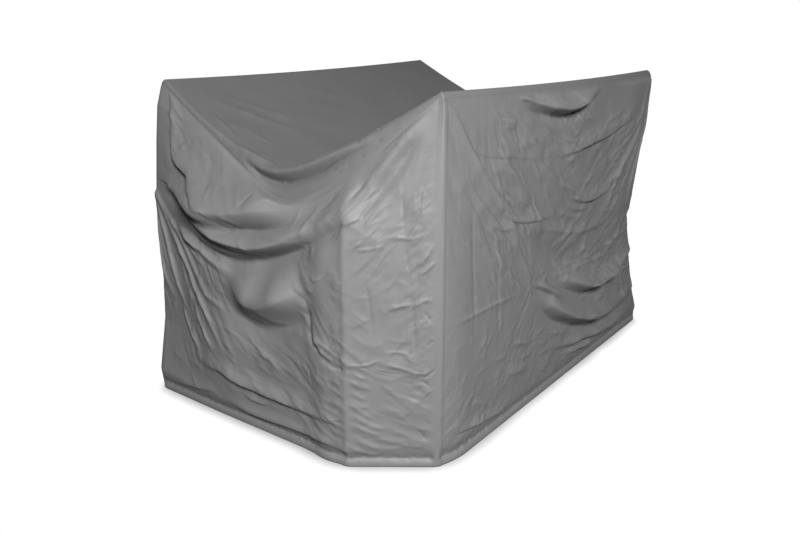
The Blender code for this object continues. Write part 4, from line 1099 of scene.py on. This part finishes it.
NEAR_SIDE_SCATTER = (
    Scatter("crease", (-0.60, 0.06), (-0.25, 0.36), 60, 0.070, 48.0, 45.0, 0.0013, 0.004),
    Scatter("crease", (-0.62, 0.38), (-0.36, 0.92), 50, 0.090, -66.0, 26.0, 0.0012, 0.004),
    Scatter("crease", (-0.42, 0.62), (0.20, 0.96), 70, 0.110, -38.0, 14.0, 0.0024, 0.005),
    Scatter("crease", (0.02, 0.46), (0.56, 0.90), 54, 0.110, 18.0, 26.0, 0.0024, 0.005),
    Scatter("crease", (-0.10, 0.36), (0.62, 0.44), 34, 0.070, 0.0, 30.0, 0.0030, 0.005),
    Scatter("crease", (0.24, 0.26), (0.66, 0.40), 34, 0.080, -10.0, 34.0, 0.0036, 0.005),
    Scatter("crease", (-0.10, 0.05), (0.66, 0.24), 60, 0.110, -8.0, 16.0, 0.0028, 0.005),
    Scatter("crease", (-0.42, 0.40), (-0.14, 0.66), 30, 0.110, -58.0, 12.0, 0.0026, 0.005),
    Scatter("bell", (-0.56, 0.10), (0.56, 0.90), 34, 0.140, -30.0, 60.0, 0.0026, 0.020),
    Scatter("crease", (-0.64, 0.020), (0.78, 0.034), 100, 0.018, 90.0, 35.0, -0.0014, 0.004),
    Scatter("crease", (-0.62, 0.985), (0.68, 1.000), 50, 0.020, -80.0, 30.0, -0.0012, 0.005),
)
NEAR_SIDE_CRUMPLES = (
    Crumple((-0.66, 0.02), (-0.10, 0.44), (0.080, 0.026), 50.0, 0.0026),
    Crumple((-0.66, 0.36), (-0.30, 0.98), (0.120, 0.026), -68.0, 0.0022),
    Crumple((-0.46, 0.56), (0.24, 0.99), (0.140, 0.034), -40.0, 0.0040),
    Crumple((0.00, 0.40), (0.74, 0.99), (0.150, 0.036), 24.0, 0.0040),
    Crumple((0.18, 0.20), (0.74, 0.46), (0.080, 0.024), -6.0, 0.0046),
    Crumple((-0.20, 0.02), (0.80, 0.26), (0.140, 0.026), -8.0, 0.0036),
    Crumple((-0.40, 0.30), (0.10, 0.66), (0.120, 0.032), -56.0, 0.0034),
)

side_shares = divisions(SIDE_COLUMNS, SIDE_BAND_COLUMNS)
near_side_seam = top_point(side_shares, np.zeros_like(side_shares))
near_side_base = hanging_wall(near_side_seam, side_shares, "near_right", "far_right",
                              (NEAR_RIGHT_EDGE, FAR_RIGHT_EDGE), NEAR_ROWS, None)
near_side_folds = NEAR_SIDE_FOLDS + narrow(NEAR_SIDE_CREASES)
near_side_folds = near_side_folds + scattered(NEAR_SIDE_SCATTER, NEAR_SIDE_SEED)
near_side_grid = folded_wall(near_side_base, (1.0, 0.0), near_side_folds, NEAR_SIDE_CRUMPLES, True)
near_side = sew_panel("near_long_wall_cloth", *turned_up(near_side_grid, near_side_base), wall_cloth_painted_paler)
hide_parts("long_wall_near")
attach(near_side, "root")
near_side_stitches = hem_stitches("near_long_hem_stitches", near_side_grid, near_side_base, hem_thread)

# ---------------------------------------------------------------- far end wall
# The hidden short side, hung like the near one but without a square corner.

FAR_ROWS = 150

FAR_END_FOLDS = (
    Fold("upper_swag", "swag", 0.018, 0.055, 0.026, 0.2, 0.2,
         ((-0.38, 0.80), (-0.20, 0.70), (-0.05, 0.670), (0.18, 0.70), (0.40, 0.80))),
    Fold("deep_groove", "bell", -0.024, 0.026, 0.036, 0.5, 0.5,
         ((-0.44, 0.62), (-0.10, 0.55), (0.16, 0.56), (0.46, 0.68))),
    Fold("lower_swag", "bell", 0.018, 0.050, 0.050, 0.0, 0.0,
         ((-0.40, 0.52), (-0.05, 0.45), (0.40, 0.56))),
    Fold("left_drag", "crease", 0.014, 0.020, 0.020, 0.0, 0.0,
         ((-0.46, 0.46), (-0.30, 0.30), (-0.18, 0.10))),
    Fold("right_drag", "crease", 0.015, 0.020, 0.020, 0.0, 0.0,
         ((0.47, 0.64), (0.36, 0.40), (0.30, 0.16))),
)
FAR_CRUMPLES = (
    Crumple((-0.76, 0.02), (0.76, 0.98), (0.120, 0.040), -40.0, 0.0026),
)


def far_end_shoulder(hem):
    return np.full(len(hem), END_SHOULDER)


far_end_shares = divisions(END_COLUMNS, SIDE_BAND_COLUMNS)
far_end_seam = top_point(np.ones_like(far_end_shares), far_end_shares)
far_end_base = hanging_wall(far_end_seam, far_end_shares, "far_right", "far_left",
                            (FAR_RIGHT_EDGE, FAR_LEFT_EDGE), FAR_ROWS, far_end_shoulder)
far_end_grid = folded_wall(far_end_base, (0.0, 1.0), FAR_END_FOLDS, FAR_CRUMPLES, False)
far_end = sew_panel("far_end_wall_cloth", *turned_up(far_end_grid, far_end_base), wall_cloth_painted_paler)
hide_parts("end_wall_far")
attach(far_end, "root")
far_end_stitches = hem_stitches("far_end_hem_stitches", far_end_grid, far_end_base, hem_thread)

# ---------------------------------------------------------------- far long wall
# The hidden long side, which hangs from the +Y ridge.

FAR_SIDE_FOLDS = (
    Fold("left_drag", "crease", 0.013, 0.022, 0.018, 0.3, 0.0,
         ((-0.64, 0.97), (-0.42, 0.66), (-0.14, 0.38))),
    Fold("right_drag", "crease", 0.013, 0.018, 0.022, 0.3, 0.0,
         ((0.60, 0.96), (0.42, 0.64), (0.12, 0.36))),
    Fold("pocket", "bell", -0.014, 0.020, 0.030, 0.0, 0.0,
         ((-0.34, 0.97), (-0.08, 0.91), (0.20, 0.97))),
    Fold("low_groove", "bell", -0.018, 0.024, 0.034, 0.2, 0.2,
         ((-0.50, 0.30), (-0.05, 0.22), (0.46, 0.31))),
    Fold("low_ridge", "swag", 0.016, 0.034, 0.022, 0.0, 0.0,
         ((-0.56, 0.20), (0.00, 0.13), (0.54, 0.22))),
)

far_side_seam = top_point(side_shares[::-1], np.ones_like(side_shares))
far_side_base = hanging_wall(far_side_seam, side_shares, "far_left", "near_left",
                             (FAR_LEFT_EDGE, NEAR_LEFT_EDGE), FAR_ROWS, None)
far_side_grid = folded_wall(far_side_base, (-1.0, 0.0), FAR_SIDE_FOLDS, FAR_CRUMPLES, True)
far_side = sew_panel("far_long_wall_cloth", *turned_up(far_side_grid, far_side_base), wall_cloth_painted_paler)
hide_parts("long_wall_far")
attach(far_side, "root")
far_side_stitches = hem_stitches("far_long_hem_stitches", far_side_grid, far_side_base, hem_thread)

# ---------------------------------------------------------------- studio
# A plain pale floor that runs out of sight, and soft light from near the camera. A low soft box
# behind the cover lights only its two hidden sides.

FLOOR_SIZE = 60.0
FLOOR_BOUNCE_TONE = "#404040"
HEM_SHADE_REACH = 0.07
BACKDROP_LIGHT = 0.035

floor_mesh = bmesh.new()
bmesh.ops.create_grid(floor_mesh, x_segments=1, y_segments=1, size=FLOOR_SIZE / 2.0)
floor_data = bpy.data.meshes.new("studio_floor")
floor_mesh.to_mesh(floor_data)
floor_mesh.free()
floor_paint = bpy.data.materials.new("matt_white_floor_paint")
floor_paint.use_nodes = True
floor_tree = floor_paint.node_tree
floor_shader = floor_tree.nodes["Principled BSDF"]
floor_shader.inputs["Roughness"].default_value = 0.9
floor_shader.inputs["Specular IOR Level"].default_value = 0.0
floor_shader.inputs["Emission Color"].default_value = colour("#ffffff")
# Seen directly, the floor glows white, and close to the hem ambient occlusion dims its glow into a
# painted shade. To light that bounces off it, it is dark grey, so that it doesn't fill the undersides
# of the folds.
seen = add_node(floor_tree, "ShaderNodeLightPath")
floor_tone = add_node(floor_tree, "ShaderNodeMix", {"data_type": "RGBA", 6: colour(FLOOR_BOUNCE_TONE),
                                                    7: colour("#000000")},
                      {0: seen.outputs["Is Camera Ray"]})
shade = add_node(floor_tree, "ShaderNodeAmbientOcclusion", {"samples": 16, "Distance": HEM_SHADE_REACH})
shade_ramp = add_node(floor_tree, "ShaderNodeMapRange", {1: 0.35, 2: 0.80, 3: 0.35, 4: 1.02},
                      {0: shade.outputs["AO"]})
floor_glow = add_node(floor_tree, "ShaderNodeMath", {"operation": "MULTIPLY"},
                      {0: seen.outputs["Is Camera Ray"], 1: shade_ramp.outputs[0]})
floor_tree.links.new(floor_tone.outputs[2], floor_shader.inputs["Base Color"])
floor_tree.links.new(floor_glow.outputs[0], floor_shader.inputs["Emission Strength"])
floor_data.materials.append(floor_paint)
floor = bpy.data.objects.new("studio_floor", floor_data)
bpy.context.scene.collection.objects.link(floor)

SoftBox = namedtuple("SoftBox", "name place target size watts")
SOFT_BOXES = (
    SoftBox("key_box", (-2.90, -2.70, 2.45), (-0.4, -0.2, 0.5), 0.9, 186.0),
    SoftBox("overhead_box", (-0.9, -0.3, 3.0), (-0.3, 0.0, 0.8), 2.0, 2.2),
    SoftBox("rear_box", (2.9, 2.6, 0.8), (0.0, 0.0, 0.4), 1.2, 70.0),
)
for box in SOFT_BOXES:
    lamp = bpy.data.lights.new(box.name, "AREA")
    lamp.size = box.size
    lamp.energy = box.watts
    light = bpy.data.objects.new(box.name, lamp)
    light.location = box.place
    aim = Vector(box.target) - Vector(box.place)
    light.rotation_euler = aim.to_track_quat("-Z", "Y").to_euler()
    bpy.context.scene.collection.objects.link(light)

world = bpy.data.worlds.new("studio_white")
world.use_nodes = True
bpy.context.scene.world = world
sky = world.node_tree.nodes["Background"]
sky.inputs["Color"].default_value = colour("#ffffff")
# Seen directly, the backdrop is white too. As a light it is nearly out.
sight = add_node(world.node_tree, "ShaderNodeLightPath")
glow = add_node(world.node_tree, "ShaderNodeMix", {"data_type": "FLOAT", 2: BACKDROP_LIGHT, 3: 1.0},
                {0: sight.outputs["Is Camera Ray"]})
world.node_tree.links.new(glow.outputs[0], sky.inputs["Strength"])
bpy.context.scene.view_settings.view_transform = "Standard"
